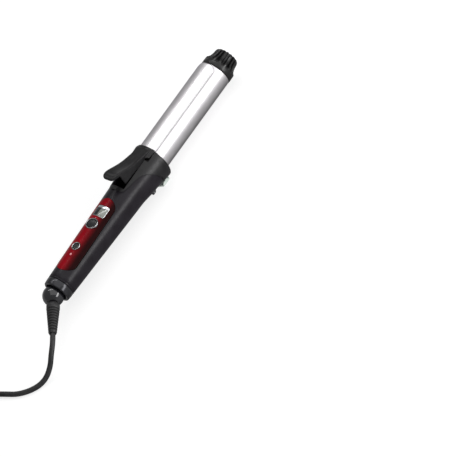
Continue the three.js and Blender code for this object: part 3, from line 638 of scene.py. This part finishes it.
def plug():
    """A flat plug body that widens from a ribbed relief, with its sides rounded."""
    low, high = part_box("plug_body")
    axis_y, axis_z = (low.y + high.y) / 2, (low.z + high.z) / 2
    half_wide, half_high = (high.y - low.y) / 2, (high.z - low.z) / 2
    back, front = high.x / MM - 16, low.x / MM
    sections = []
    stations = 28
    for i in range(stations + 1):
        share = i / stations
        x = back + (front - back) * share
        spread_out = ease(share, 0, 0.5)
        shrink = 1 - 0.12 * ease(share, 0.93, 1.0)
        wide = (4.6 * MM + (half_wide - 4.6 * MM) * spread_out) * shrink
        tall = (4.4 * MM + (half_high - 4.4 * MM) * spread_out) * shrink
        power = 2 + 2.2 * spread_out
        ring = []
        for step in range(48):
            turn = FULL_TURN * step / 48
            c, s = math.cos(turn), math.sin(turn)
            ring.append(Vector((
                x * MM,
                axis_y + wide * math.copysign(abs(c) ** (2 / power), c),
                axis_z + tall * math.copysign(abs(s) ** (2 / power), s),
            )))
        sections.append(ring)
    body = loft("plug_shell", sections)
    relief = [(0.0, 3.35), (0.0, 4.0), (0.4, 4.35), (2.2, 4.4)]
    for along in (3.2, 6.2, 9.2, 12.2):
        relief += [(along, 4.4), (along + 0.3, 3.7), (along + 1.2, 3.7), (along + 1.5, 4.4)]
    relief += [(17.5, 4.4), (17.5, 0), (9.5, 0), (9.5, 3.35), (0.0, 3.35)]
    start = (Vector((high.x, axis_y, axis_z)) - ORIGIN) / MM
    return join(body, revolve("relief", relief, 48, (start, Vector((-1, 0, 0)))))


def plug_pin(node):
    """A flat pin with rounded corners, as a mains pin has."""
    low, high = [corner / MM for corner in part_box(node)]
    outline = rectangle(low.x, high.x, low.z, high.z, 1.0)
    front = (Vector((0, low.y, 0)) * MM, Vector((0, high.y, 0)) * MM)
    sides = [[Vector((x, 0, z)) * MM + side for x, z in outline] for side in front]
    return bevel(loft(node + "_blade", sides), 0.2, 2, 60)


guard_sleeve = cord_guard()
lead = round_cord("lead", cord_line(), CORD_DIAMETER)
lead.data.materials.append(cord_rubber)
tie_strap = strap_loop()
plug_shell = plug()
pins = [plug_pin(node) for node in ("plug_pin_live", "plug_pin_neutral")]
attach(lead, "cord")
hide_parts("power_cord", "power_cord_tail", "cord_coil")
finish_piece(guard_sleeve, cord_rubber, "cord", "cord_rubber", "cord_guard", angle=50)
finish_piece(tie_strap, black_matte, "cord", "black_matte", "cord_tie")
finish_piece(plug_shell, cord_rubber, "cord", "cord_rubber", "plug_body", angle=50)
for pin, node in zip(pins, ("plug_pin_live", "plug_pin_neutral")):
    finish_piece(pin, brass, "cord", "brass", node)


# ---------------------------------------------------------------- barrel and clip
def band_section(x, half_width, inner, outer, corner, slope=0.0):
    """The outline of a curved band at one x, from -half_width to half_width over the top. Its edges are
    rounded; a slope brings the upper face down over that width before the edge."""
    reach = outer * math.asin(min(1.0, half_width / outer))
    if slope:
        fall = min(slope, reach * 0.45)
        flat = [(-1 + 2 * i / 32) * (reach - fall) for i in range(33)]
        drop = (outer - inner) - 0.25
        bends = [(0.18, 0.03), (0.38, 0.13), (0.6, 0.33), (0.8, 0.6), (0.94, 0.86), (1.0, 1.0)]
        right = [(reach - fall + fall * a, outer - drop * b) for a, b in bends] + [(reach - 0.1, inner)]
    else:
        round_by = min(corner, (outer - inner) * 0.48, reach * 0.45)
        flat = [(-1 + 2 * i / 32) * (reach - round_by) for i in range(33)]
        turns = [math.pi / 2 * i / 5 for i in range(1, 5)]
        edge = reach - round_by
        right = [(edge + round_by * math.sin(t), outer - round_by * (1 - math.cos(t))) for t in turns]
        right += [(reach, outer - round_by), (reach, inner + round_by)]
        right += [(edge + round_by * math.cos(t), inner + round_by * (1 - math.sin(t))) for t in turns]
    top = [(s, outer) for s in flat]
    bottom = [(s, inner) for s in reversed(flat)]
    left = [(-s, r) for s, r in reversed(right)]
    outline = top + right + bottom + left
    return [place(x, r * math.sin(s / outer), r * math.cos(s / outer)) for s, r in outline]


def paint_shadow_on_long_edges(obj, material, low_x, high_x, edge):
    """Gives the sloped long edges of a curved plate a dark steel finish between two stations, as a painted
    shadow of the gap where the edge meets the barrel.
    """
    obj.data.materials.append(material)
    centre = place(0, 0, 0)
    for face in obj.data.polygons:
        spot = (obj.matrix_world @ face.center - centre) / MM
        if low_x < spot.x < high_x and abs(math.atan2(spot.y, spot.z)) > edge and face.normal.z > 0.5:
            face.material_index = len(obj.data.materials) - 1


def barrel_tube():
    start, end = BARREL_LOW.x, BARREL_HIGH.x
    bore = BARREL_RADIUS - 1.2
    return revolve("barrel_skin", [
        (start, bore), (start, BARREL_RADIUS), (end - 0.3, BARREL_RADIUS), (end, BARREL_RADIUS - 0.3),
        (end, bore), (start, bore),
    ], 192)


def clip_plate():
    start, end = CLIP_LOW.x, CLIP_HIGH.x
    inner, outer = CLIP_OUTER - 1.6, CLIP_OUTER
    corner = CLIP_CORNER
    widths = [(start, 8.2, 0.0), (180, CLIP_HALF_WIDTH, 0.0)]
    stations = 30
    for i in range(stations + 1):
        widths.append((181 + (end - corner - 181) * i / stations, CLIP_HALF_WIDTH, 0.0))
    for i in range(1, 15):
        turn = math.pi / 2 * i / 14
        x = end - corner + corner * math.sin(turn)
        half_width = CLIP_HALF_WIDTH - corner + corner * math.cos(turn)
        widths.append((x, half_width, 0.5 * ease(x, end - 0.9, end)))
    return loft("clip_skin", [
        band_section(x, half_width, inner + lower * 0.4, outer - lower, 0.6, CLIP_SLOPE)
        for x, half_width, lower in widths])


def softened(obj, voxel=0.35, rounds=4):
    """Turns joined blocks into one moulded form with slightly rounded edges."""
    apply_modifier(obj, "REMESH", mode="VOXEL", voxel_size=voxel * MM, use_smooth_shade=True)
    return apply_modifier(obj, "SMOOTH", factor=0.5, iterations=rounds)


def lowered(obj):
    """Brings the points of a piece made about the axis down to where the collar hangs."""
    for point in obj.data.vertices:
        x = (point.co.x - ORIGIN.x) / MM
        point.co.z -= sag(x) * MM
    return obj


LEVER_TOP = [(187.7, 21.3), (180, 22.5), (172, 24.2), (163, 26.7), (155, 29.7), (147, 33.8), (140, 37.7),
             (134, 40.2)]
LEVER_TAIL = [(129.5, 41.0), (127.6, 40.3), (127, 38.9), (128, 37.6), (131, 36.9), (138, 35.2)]


def thumb_dish():
    """A long shallow trough that follows the lever's top and leaves a shoulder along both of its sides."""
    line = curve_through([(180, 22.9), *LEVER_TOP[2:7], (136, 39.2), (130.5, 41.6)], 6)
    radius = 24.0
    sections = []
    for i, (x, z) in enumerate(line):
        share = ease(i / (len(line) - 1), 0.0, 0.35) * (1 - ease(i / (len(line) - 1), 0.86, 1.0))
        level = z + 0.25 - 1.0 * share
        ring = [(radius * math.sin(t), radius * (1 - math.cos(t))) for t in
                [math.radians(-26 + 52 * j / 20) for j in range(21)]]
        ring = [(y, level + up) for y, up in ring] + [(12, level + 12), (-12, level + 12)]
        sections.append([place(x, y, up) for y, up in ring])
    return loft("dish", sections)


def clip_lever():
    """The thumb lever: a dished top on two side walls, hollow underneath, its tail hanging over."""
    rim = LEVER_HIGH.x
    tail_x = LEVER_LOW.x
    side = [(rim, 8.3), (rim, 21.2)] + [tuple(p) for p in curve_through(LEVER_TOP + LEVER_TAIL, 5)]
    side += [(138, 20.6), (158, 20), (161, 11.2), (171, 11.2), (174, 8)]
    half = 8.6
    root = 12.4
    corner = [(138 - (138 - tail_x) * math.sin(t), half + 0.3 - 5.4 * (1 - math.cos(t))) for t in
              [math.pi / 2 * i / 8 for i in range(9)]]
    plan = [(188, -root), (188, root), (177, root - 0.6), (175, half)] + corner
    plan += [(x, -y) for x, y in reversed(corner)] + [(175, -half), (177, 0.6 - root)]
    body = prism("lever_form", side, -20, 20, "Y")
    combine(body, prism("plan", plan, -5, 60, "Z"), "INTERSECT")
    reach = 23.4
    keep = lowered(rod("root_arc", 160, 190, reach, 128))
    ramp = block("ramp", 172, 184, -half, half, 19, 30)
    behind = block("behind", 100, 172.5, -30, 30, -30, 60)
    combine(body, join(keep, behind, ramp), "INTERSECT")
    inner = half - 1.8
    ceiling = [(x, z - 2.4) for x, z in LEVER_TOP[2:7]]
    hollow = [(172, 5), *ceiling, (134, 34), (130, 32), (120, 5)]
    clip_room = rod("clip_room", 172.3, 192, 20.3, 128)
    pin_room = rod("pin_room", -20, 20, 1.6, 32, LEVER_PIVOT)
    dish = thumb_dish()
    rivet_rooms = [rod("rivet_room", -8, 1.6, 1.5, 32, upright(x, CLIP_OUTER)) for x in (178.2, 183)]
    cut(body, prism("hollow", hollow, -inner, inner, "Y"), clip_room, pin_room, dish, *rivet_rooms)
    return softened(body, 0.32, 5)


finish_piece(barrel_tube(), barrel_metal, "handle", "barrel_metal", "barrel_tube")
clip_skin = clip_plate()
finish_piece(clip_skin, clip_metal, "clip", "barrel_metal", "clip_plate")
slope_start = math.asin(CLIP_HALF_WIDTH / CLIP_OUTER) - 1.5 / CLIP_OUTER
# Painted shadow: the clip's sloped long edges turn dark to draw the gap line along the barrel.
paint_shadow_on_long_edges(clip_skin, painted_edge_shadow, 180, CLIP_HIGH.x - CLIP_CORNER, slope_start)
finish_piece(clip_lever(), black_matte, "clip", "black_matte", "clip_lever", angle=180)


# ---------------------------------------------------------------- collar and stand
RIM_SLANT = 1.9
COLLAR_INNER = 20.0


def collar_region(offset):
    """The collar's reach seen from the side, in (x, z): its seam with the handle, and its slanted rim."""
    seam = curve_through([
        (130, 18.2), (139, 17.3), (148, 16.6), (153, 15.8), (158, 14.3), (163, 10.5), (167.5, 4), (171, -4),
        (174, -12),
    ], 6)
    shifted = [(p[0] - offset, p[1] - offset) for p in seam]
    return [(195, 40), (127.5 - offset, 40), (127.5 - offset, 19.4 - offset), *shifted, (176 - offset, -40),
            (195, -40)]


def stand_bracket(offset):
    return block("bracket", 154 - offset, 180, -9.8 - offset, 9.8 + offset, -30, 0)


def collar_ring():
    """The collar's full ring, with a rounded rim that leans forwards at the top."""
    stations = [(126, 21.0), (142, 21.2), (153, 21.8), (165, 22.4), (176, 23.0)]
    outer = [tuple(p) for p in curve_through(stations, 4)]
    sections = []
    sides = 160
    for i in range(sides):
        turn = FULL_TURN * i / sides
        rim = RIM_X + RIM_SLANT * 23.5 * math.cos(turn) / 30
        profile = [(126, COLLAR_INNER)] + outer + [(rim - 1.3, 23.68)]
        for step in range(1, 6):
            bend = math.pi / 2 * step / 5
            profile.append((rim - 1.3 + 1.3 * math.sin(bend), 22.38 + 1.3 * math.cos(bend)))
        lip = COLLAR_INNER + 0.35 + SAG * (1 + math.cos(turn)) / 2
        profile += [(rim, lip), (rim - 0.9, COLLAR_INNER)]
        sections.append([place(x, r * math.sin(turn), r * math.cos(turn) - (
            0 if r <= COLLAR_INNER or x < SAG_START else sag(x))) for x, r in profile])
    return loft("collar_skin", sections, loop=True)


def collar():
    ring = collar_ring()
    region = prism("region", collar_region(0), -30, 30, "Y")
    combine(ring, join(region, stand_bracket(0)), "INTERSECT")
    cut(ring, block("lever_slot", SLOT_START, 176, -SLOT_HALF, SLOT_HALF, 6, 30),
        block("root_slot", 172.6, 195, -CLIP_HALF_WIDTH - 0.8, CLIP_HALF_WIDTH + 0.8, 6, 30))
    lug = [(155.5, -19.5), (157.6, -26.2), (161.8, -26.2), (163.4, -24), (167, -21), (167, -19.5)]
    for low in (-8.6, 5.4):
        ear = bevel(prism("ear", lug, low, low + 3.2, "Y"), 0.4, 3)
        join(ring, cut(ear, rod("inside", 120, 190, COLLAR_INNER, 128)))
    cut(ring, rod("knuckle_room", -5.4, 5.4, 2.7, 48, STAND_PIVOT),
        rod("pin_hole", -9, 9, 1.3, 32, STAND_PIVOT))
    clean(ring, 2e-6)
    return ring


def rest_stand():
    low = STAND_LOW.z
    end = STAND_HIGH.x
    half = STAND_HIGH.y
    side = [
        (158, -25.8), (159, -26.6), (161, -26.6), (164, low), (end, low), (end, low + 1.8),
        (165.4, low + 1.8), (162.2, -24.4), (161, -22.4), (159, -22.4), (158, -23.2),
    ]
    corner = [(end - 4 + 4 * math.cos(t), half - 4 + 4 * math.sin(t)) for t in
              [math.pi / 2 * i / 8 for i in range(9)]]
    plan = [(157, -5), (168.4, -5), (172, -half)] + [(x, -y) for x, y in reversed(corner)]
    plan += corner + [(172, half), (168.4, 5), (157, 5)]
    plate = prism("stand_form", side, -20, 20, "Y")
    combine(plate, prism("plan", plan, -40, -10, "Z"), "INTERSECT")
    rib = [(172.2, low + 1), (173.4, low + 4.4), (180, low + 4.8), (182, low + 1)]
    join(plate, prism("rib", rib, -half, 1.6 - half, "Y"), prism("rib", rib, half - 1.6, half, "Y"))
    cut(plate, rod("pin_hole", -9, 9, 1.1, 32, STAND_PIVOT))
    return softened(plate, 0.28, 3)


finish_piece(collar(), black_matte, "handle", "black_matte", "collar", angle=40)
finish_piece(rest_stand(), stand_grey, "stand", "stand_grey", "rest_stand", angle=180)


# ---------------------------------------------------------------- handle
def panel_outline(offset):
    """The red inlay seen from above: straight sides and elliptical ends."""
    start, end = PANEL_LOW.x, PANEL_HIGH.x
    end_length = 11
    half = PANEL_HIGH.y + offset
    points = []
    for centre, phase in ((end - end_length, -math.pi / 2), (start + end_length, math.pi / 2)):
        for i in range(33):
            turn = phase + math.pi * i / 32
            points.append((centre + (end_length + offset) * math.cos(turn), half * math.sin(turn)))
    return points


def handle_shell():
    start = SHELL_START
    depth = 0.5
    flare = [tuple(p) for p in curve_through([
        (130, handle_radius(130)), (SAG_START, handle_radius(SAG_START)), (153, 21.2), (165, 22.0),
        (178, 22.6),
    ], 6)]
    outer = [
        (start, handle_radius(start) - depth), (start + 0.25, handle_radius(start) - 0.12),
        (start + 0.5, handle_radius(start)), (10.1, handle_radius(10)), (10.3, handle_radius(10) - 0.12),
        (10.35, handle_radius(10) - depth), (10.85, handle_radius(10) - depth),
        (10.9, handle_radius(11) - 0.12), (11.1, handle_radius(11)),
    ]
    outer += [(x, handle_radius(x)) for x in range(16, 130, 6)] + flare
    inner = [(0, 13.6), (start, 13.6), (SAG_START, handle_radius(SAG_START) - 2.2), (190, 18.6), (190, 0)]
    shell = lowered(revolve("handle_skin", [(start, 0), *outer, (178, 0)], 160))
    cut(shell, revolve("handle_bore", [(0, 0), *inner], 96))
    cut(shell, prism("region", collar_region(0.3), -30, 30, "Y"), stand_bracket(0.3))
    spigot = revolve("spigot", [(124, 17.4), (124, 19.6), (171, 19.6), (171, 17.4), (124, 17.4)], 128)
    join(shell, spigot)
    cut(shell,
        block("slot", SLOT_START, 185, -SLOT_HALF, SLOT_HALF, 6, 30),
        prism("panel_room", panel_outline(0.25), 4, 30, "Z"),
        block("cover_room", COVER_LOW.x - 0.3, COVER_HIGH.x + 0.3, -30, 30, -30, COVER_HIGH.z + 0.3),
        rod("pin_room", -12.7, 12.7, 1.8, 32, LEVER_PIVOT),
        block("front", 171, 200, -30, 30, -30, 30))
    clean(shell, 2e-6)
    return shell


def back_cover():
    start, end = COVER_LOW.x, COVER_HIGH.x
    stations = [start + (end - start) * i / 16 for i in range(17)]
    line = [(x, handle_radius(x)) for x in stations]
    inner = [(end, handle_radius(end) - 2.2), (start, handle_radius(start) - 2.2)]
    strip = revolve("cover_skin", [*line, *inner, line[0]], 160)
    combine(strip, block("below", 0, 200, -30, 30, -30, COVER_HIGH.z), "INTERSECT")
    for x in SCREW_X.values():
        down = upright(x, way=-1)
        cut(strip, rod("screw_hole", 5, 30, 1.8, 32, down),
            rod("head_room", handle_radius(x) - 1.4, 30, 3.4, 48, down))
    return strip


def cover_screw(x, node):
    """A countersunk head with a cross recess."""
    down = upright(x, way=-1)
    face = handle_radius(x) - 0.3
    screw = revolve(node + "_form", [
        (face - 7.7, 0), (face - 7.7, 1.4), (face - 0.8, 1.4), (face - 0.8, 2.9), (face - 0.35, 3.0),
        (face - 0.1, 2.6), (face, 1.6), (face, 0),
    ], 48, down)
    low, high = -face - 0.5, -face + 0.55
    return cut(screw, block("cross", x - 1.9, x + 1.9, -0.35, 0.35, low, high),
               block("cross", x - 0.35, x + 0.35, -1.9, 1.9, low, high))


def end_ring():
    """The bright dark cap ring at the handle's end, rounded at its rim."""
    length = RING_HIGH.x / MM - ORIGIN.x / MM
    edge = [(0.0, 14.3)] + [(1.1 - 1.1 * math.cos(t), 14.3 + 1.3 * math.sin(t)) for t in
                            [math.pi / 2 * i / 6 for i in range(1, 7)]]
    wide = handle_radius(8)
    outer = edge + [(4.6, handle_radius(6)), (length - 0.5, wide), (length - 0.15, wide - 0.2),
                    (length, wide - 0.5)]
    inner = [(length, 13.4), (4, 13.4), (2.5, 12.6), (0.5, 12.6), (0.0, 13.0)]
    return revolve("ring_skin", [*outer, *inner, outer[0]], 160)


def swivel_ball():
    profile = [(BALL_LOW.x, 0)]
    steps = 40
    last = math.acos(-math.sqrt(1 - (STEM_RADIUS / BALL_RADIUS) ** 2))
    for i in range(1, steps + 1):
        turn = last * i / steps
        profile.append((BALL_X - BALL_RADIUS * math.cos(turn), BALL_RADIUS * math.sin(turn)))
    profile += [(20, STEM_RADIUS), (20, 2.6), (BALL_HIGH.x, 2.6), (BALL_HIGH.x, 0)]
    return revolve("ball_skin", profile, 128)


finish_piece(handle_shell(), handle_gloss, "handle", "handle_gloss", "handle_shell", angle=30)
finish_piece(back_cover(), handle_gloss, "handle", "handle_gloss", "handle_back_cover", angle=30)
for node, x in SCREW_X.items():
    finish_piece(cover_screw(x, node), steel, "handle", "steel", node)
finish_piece(end_ring(), gunmetal, "handle", "gunmetal", "end_ring", angle=40)
finish_piece(swivel_ball(), ball_gloss, "cord", "handle_gloss", "swivel_ball", angle=40)


# ---------------------------------------------------------------- cool tip
def cool_tip():
    """A flange, then a grip with sixteen ribs whose crests stand out from a tapered core."""
    start, end = TIP_LOW.x, TIP_HIGH.x
    flange = BARREL_RADIUS + 0.35
    crest = curve_through([(313.6, flange), (317.2, flange - 0.1), (318.6, 17.0), (321.2, 15.7), (324, 14.7),
                           (328, 14.1), (330.4, 13.2), (331.5, 11.4), (end, 8.0)], 5)
    valley = curve_through([(313.6, flange - 0.15), (314.8, 15.8), (316.2, 13.8), (318.6, 12.2), (323, 11.3),
                            (328, 11.0), (330.4, 10.8), (331.5, 9.9), (end, 7.8)], 5)
    head = [(start, flange - 0.9), (start + 0.2, flange - 0.4), (start + 0.7, flange), (312, flange)]
    count = 16
    per_rib = 14
    sections = [[place(x, r * math.sin(FULL_TURN * i / (count * per_rib)), r * math.cos(
        FULL_TURN * i / (count * per_rib))) for i in range(count * per_rib)] for x, r in head]
    for high, low in zip(crest, valley):
        ring = []
        for i in range(count * per_rib):
            turn = FULL_TURN * i / (count * per_rib)
            wave = abs(((turn * count / FULL_TURN) % 1.0) - 0.5) * 2
            share = 1 - ease(wave, 0.36, 0.56)
            radius = low[1] + (high[1] - low[1]) * share
            ring.append(place((high[0] + low[0]) / 2, radius * math.sin(turn), radius * math.cos(turn)))
        sections.append(ring)
    tip = loft("tip_form", sections)
    return cut(tip, rod("bore", 300, 322, 4.3, 48))


finish_piece(cool_tip(), tip_matte, "handle", "black_matte", "cool_tip", angle=40)


# ---------------------------------------------------------------- control panel
DISPLAY_X, ROCKER_X, POWER_X, LAMP_X, SETTING_LAMP_X = 99.0, 82.0, 51.0, 40.5, 89.8


def control_panel():
    start, end = PANEL_LOW.x, PANEL_HIGH.x
    end_length = 11
    half = PANEL_HIGH.y
    stations = []
    turns = [math.radians(86) * i / 16 for i in range(17)]
    stations += [(start + end_length - end_length * math.sin(t), half * math.cos(t)) for t in reversed(turns)]
    stations += [(start + end_length + (end - start - 2 * end_length) * i / 24, half) for i in range(1, 24)]
    stations += [(end - end_length + end_length * math.sin(t), half * math.cos(t)) for t in turns]
    sections = [band_section(x, w, handle_radius(x) - 2, handle_radius(x) + 0.2, 0.5) for x, w in stations]
    panel = loft("inlay_skin", sections)
    rounds = [(POWER_X, 5.35), (LAMP_X, 1.75), (SETTING_LAMP_X, 0.85)]
    holes = [rod("hole", 10, 30, radius, 48, upright(x)) for x, radius in rounds]
    holes.append(block("display_hole", DISPLAY_X - 7.2, DISPLAY_X + 7.2, -8.6, 8.6, 10, 30, 1.2))
    holes.append(prism("rocker_hole", ellipse(ROCKER_X, 0, 7.05, 8.05), 10, 30, "Z"))
    return cut(panel, *holes)


def bent(obj):
    """Bends a flat piece of the display to the panel's curve."""
    work = bmesh.new()
    work.from_mesh(obj.data)
    for step in range(-8, 9):
        everything = work.verts[:] + work.edges[:] + work.faces[:]
        bmesh.ops.bisect_plane(work, geom=everything, plane_co=(0, step * MM, 0), plane_no=(0, 1, 0))
    radius = handle_radius(DISPLAY_X) * MM
    for vert in work.verts:
        vert.co.z -= radius - math.sqrt(radius ** 2 - vert.co.y ** 2)
    work.to_mesh(obj.data)
    work.free()
    return obj


def display_frame():
    top = handle_radius(DISPLAY_X) + 0.25
    frame_form = block("display_rim", DISPLAY_X - 6.9, DISPLAY_X + 6.9, -8.3, 8.3, top - 3.2, top, 1.6)
    cut(frame_form, block("opening", DISPLAY_X - 6.4, DISPLAY_X + 3.8, -7.8, 7.8, 5, 30, 0.7))
    return bent(bevel(frame_form, 0.18, 3, 60))


def display_pane():
    top = handle_radius(DISPLAY_X) - 0.35
    pane = block("display_pane", DISPLAY_X - 6.3, DISPLAY_X + 3.7, -7.7, 1.6, top - 2.2, top, 0.5)
    return bent(bevel(pane, 0.12, 2, 60))


def display_mask():
    top = handle_radius(DISPLAY_X) - 0.2
    mask = block("display_mask", DISPLAY_X - 6.3, DISPLAY_X + 3.7, 1.7, 7.7, top - 2.0, top, 0.5)
    return bent(bevel(mask, 0.12, 2, 60))


def oval_ring(name, x, half_x, half_y, wall, low, high):
    """A ring whose upper edge is a full round."""
    sections = []
    for i in range(96):
        turn = FULL_TURN * i / 96
        outwards = Vector((math.cos(turn), math.sin(turn), 0))
        edge = Vector((x + half_x * math.cos(turn), half_y * math.sin(turn), 0))
        profile = [(0, low), (0, high - wall * 0.5)]
        profile += [(wall * 0.5 * (1 - math.cos(t)), high - wall * 0.5 * (1 - math.sin(t))) for t in
                    [math.pi * step / 10 for step in range(1, 10)]]
        profile += [(wall, high - wall * 0.5), (wall, low)]
        sections.append([place(*(edge - outwards * inset + Vector((0, 0, z)))) for inset, z in profile])
    return loft(name, sections, loop=True)


def rocker_cap():
    """An oval cap, dished along the handle, with a rounded edge."""
    top = handle_radius(ROCKER_X)
    half_x, half_y = 5.2, 6.2

    def dish(x):
        return top + (x - ROCKER_X) ** 2 / 48

    sections = [[place(px, py, top - 3.4) for px, py in ellipse(ROCKER_X, 0, half_x, half_y, 72)]]
    for scale, drop in ((1.0, 0.75), (0.995, 0.45), (0.975, 0.2), (0.94, 0.06), (0.88, 0.0), (0.7, 0),
                        (0.5, 0), (0.3, 0), (0.1, 0)):
        around = ellipse(ROCKER_X, 0, half_x * scale, half_y * scale, 72)
        sections.append([place(px, py, dish(px) - drop) for px, py in around])
    cap = loft("rocker_form", sections)
    waist = block("waist", ROCKER_X - 1, ROCKER_X + 1, -3, 3, top - 5.6, top - 3.2)
    return join(cap, waist)


def power_button():
    top = handle_radius(POWER_X)
    low = top - 4.2
    profile = [(low, 0), (low, 3.6), (top + 0.35, 3.6), (top + 0.62, 3.5), (top + 0.8, 3.2), (top + 0.9, 2.6),
               (top + 0.86, 1.6), (top + 0.82, 0)]
    return revolve("button_form", profile, 64, upright(POWER_X))


def lamp(name, x, radius, low):
    top = handle_radius(x) + 0.1
    turns = [math.pi / 2 * i / 6 for i in range(7)]
    dome = [(top - 0.35 + 0.5 * math.sin(t), radius * math.cos(t)) for t in turns]
    return revolve(name, [(low, 0), (low, radius), *dome], 48, upright(x))


rocker_level = handle_radius(ROCKER_X)
power_level = handle_radius(POWER_X)
finish_piece(control_panel(), red_panel, "handle", "red_panel", "control_panel", angle=40)
finish_piece(display_frame(), chrome, "handle", "chrome", "lcd_frame")
finish_piece(display_pane(), lcd_glass, "handle", "display_glass", "lcd_display")
finish_piece(display_mask(), display_black, "handle", "display_glass")
rocker_bezel = oval_ring("rocker_bezel", ROCKER_X, 6.8, 7.8, 1.2, rocker_level - 3, rocker_level + 0.7)
finish_piece(rocker_bezel, smoked_chrome, "handle", "chrome", "rocker_ring", angle=60)
finish_piece(rocker_cap(), button_black, "rocker", "black_matte", "temperature_rocker", angle=50)
power_bezel = oval_ring("power_bezel", POWER_X, 5.1, 5.1, 1.1, power_level - 3, power_level + 0.9)
finish_piece(power_bezel, smoked_chrome, "handle", "chrome", "power_button_ring", angle=60)
finish_piece(power_button(), button_black, "power_button", "black_matte", "power_button", angle=40)
for name, x, radius, low, node in (("indicator_form", LAMP_X, 1.4, 13.6, "indicator_lens"),
                                   ("setting_form", SETTING_LAMP_X, 0.6, 14.0, "setting_lamp")):
    finish_piece(lamp(name, x, radius, low), lamp_frost, "handle", "lamp", node, angle=60)


# ---------------------------------------------------------------- stage and light
def make_stage():
    data = bpy.data.meshes.new("floor")
    size = 4.0
    corners = [(-size, -size, 0), (size, -size, 0), (size, size, 0), (-size, size, 0)]
    data.from_pydata(corners, [], [(0, 1, 2, 3)])
    floor = add_object("floor", data)
    data.materials.append(surface(
        "paper", (0.40, 0.40, 0.40), (0.43, 0.43, 0.43), (0.8, 0.9), patch=6, grain=400,
        Emission_Color=(1.0, 1.0, 1.0, 1.0), Emission_Strength=0.72,
    ))
    floor.visible_glossy = False


def area_light(name, position, target, size, power, size_y):
    data = bpy.data.lights.new(name, "AREA")
    data.shape = "RECTANGLE"
    data.size = size
    data.size_y = size_y
    data.energy = power
    light = add_object(name, data)
    light.location = position
    way = Vector(target) - Vector(position)
    light.rotation_euler = way.to_track_quat("-Z", "Y").to_euler()


def make_light():
    world = bpy.data.worlds.new("studio")
    bpy.context.scene.world = world
    world.use_nodes = True
    nodes, links = world.node_tree.nodes, world.node_tree.links
    background = nodes["Background"]
    background.inputs["Strength"].default_value = 1.0
    where = nodes.new("ShaderNodeTexCoord")
    split = nodes.new("ShaderNodeSeparateXYZ")
    ramp = nodes.new("ShaderNodeValToRGB")
    ramp.color_ramp.elements[0].position = 0.0
    ramp.color_ramp.elements[0].color = (0.13, 0.13, 0.13, 1)
    ramp.color_ramp.elements[1].position = 1.0
    ramp.color_ramp.elements[1].color = (0.36, 0.36, 0.36, 1)
    for position, grey in ((0.1, 0.3), (0.3, 0.47), (0.5, 0.54), (0.56, 0.32)):
        element = ramp.color_ramp.elements.new(position)
        element.color = (grey, grey, grey, 1)
    height = nodes.new("ShaderNodeMapRange")
    height.inputs["From Min"].default_value = -1.0
    links.new(where.outputs["Generated"], split.inputs["Vector"])
    links.new(split.outputs["Z"], height.inputs["Value"])
    links.new(height.outputs["Result"], ramp.inputs["Fac"])
    links.new(ramp.outputs["Color"], background.inputs["Color"])
    area_light("overhead", (0.65, -0.62, 1.95), (0.0, 0.05, 0), 2.7, 21, 3.0)
    area_light("strip", (0.52, -1.50, 0.52), (0.0, 0, 0.02), 1.5, 15, 0.5)
    area_light("edge", (0.55, 0.66, 1.45), (0.0, 0, 0.02), 1.3, 4, 0.12)
    bpy.context.scene.view_settings.view_transform = "Standard"
    bpy.context.scene.view_settings.look = "None"


make_stage()
make_light()
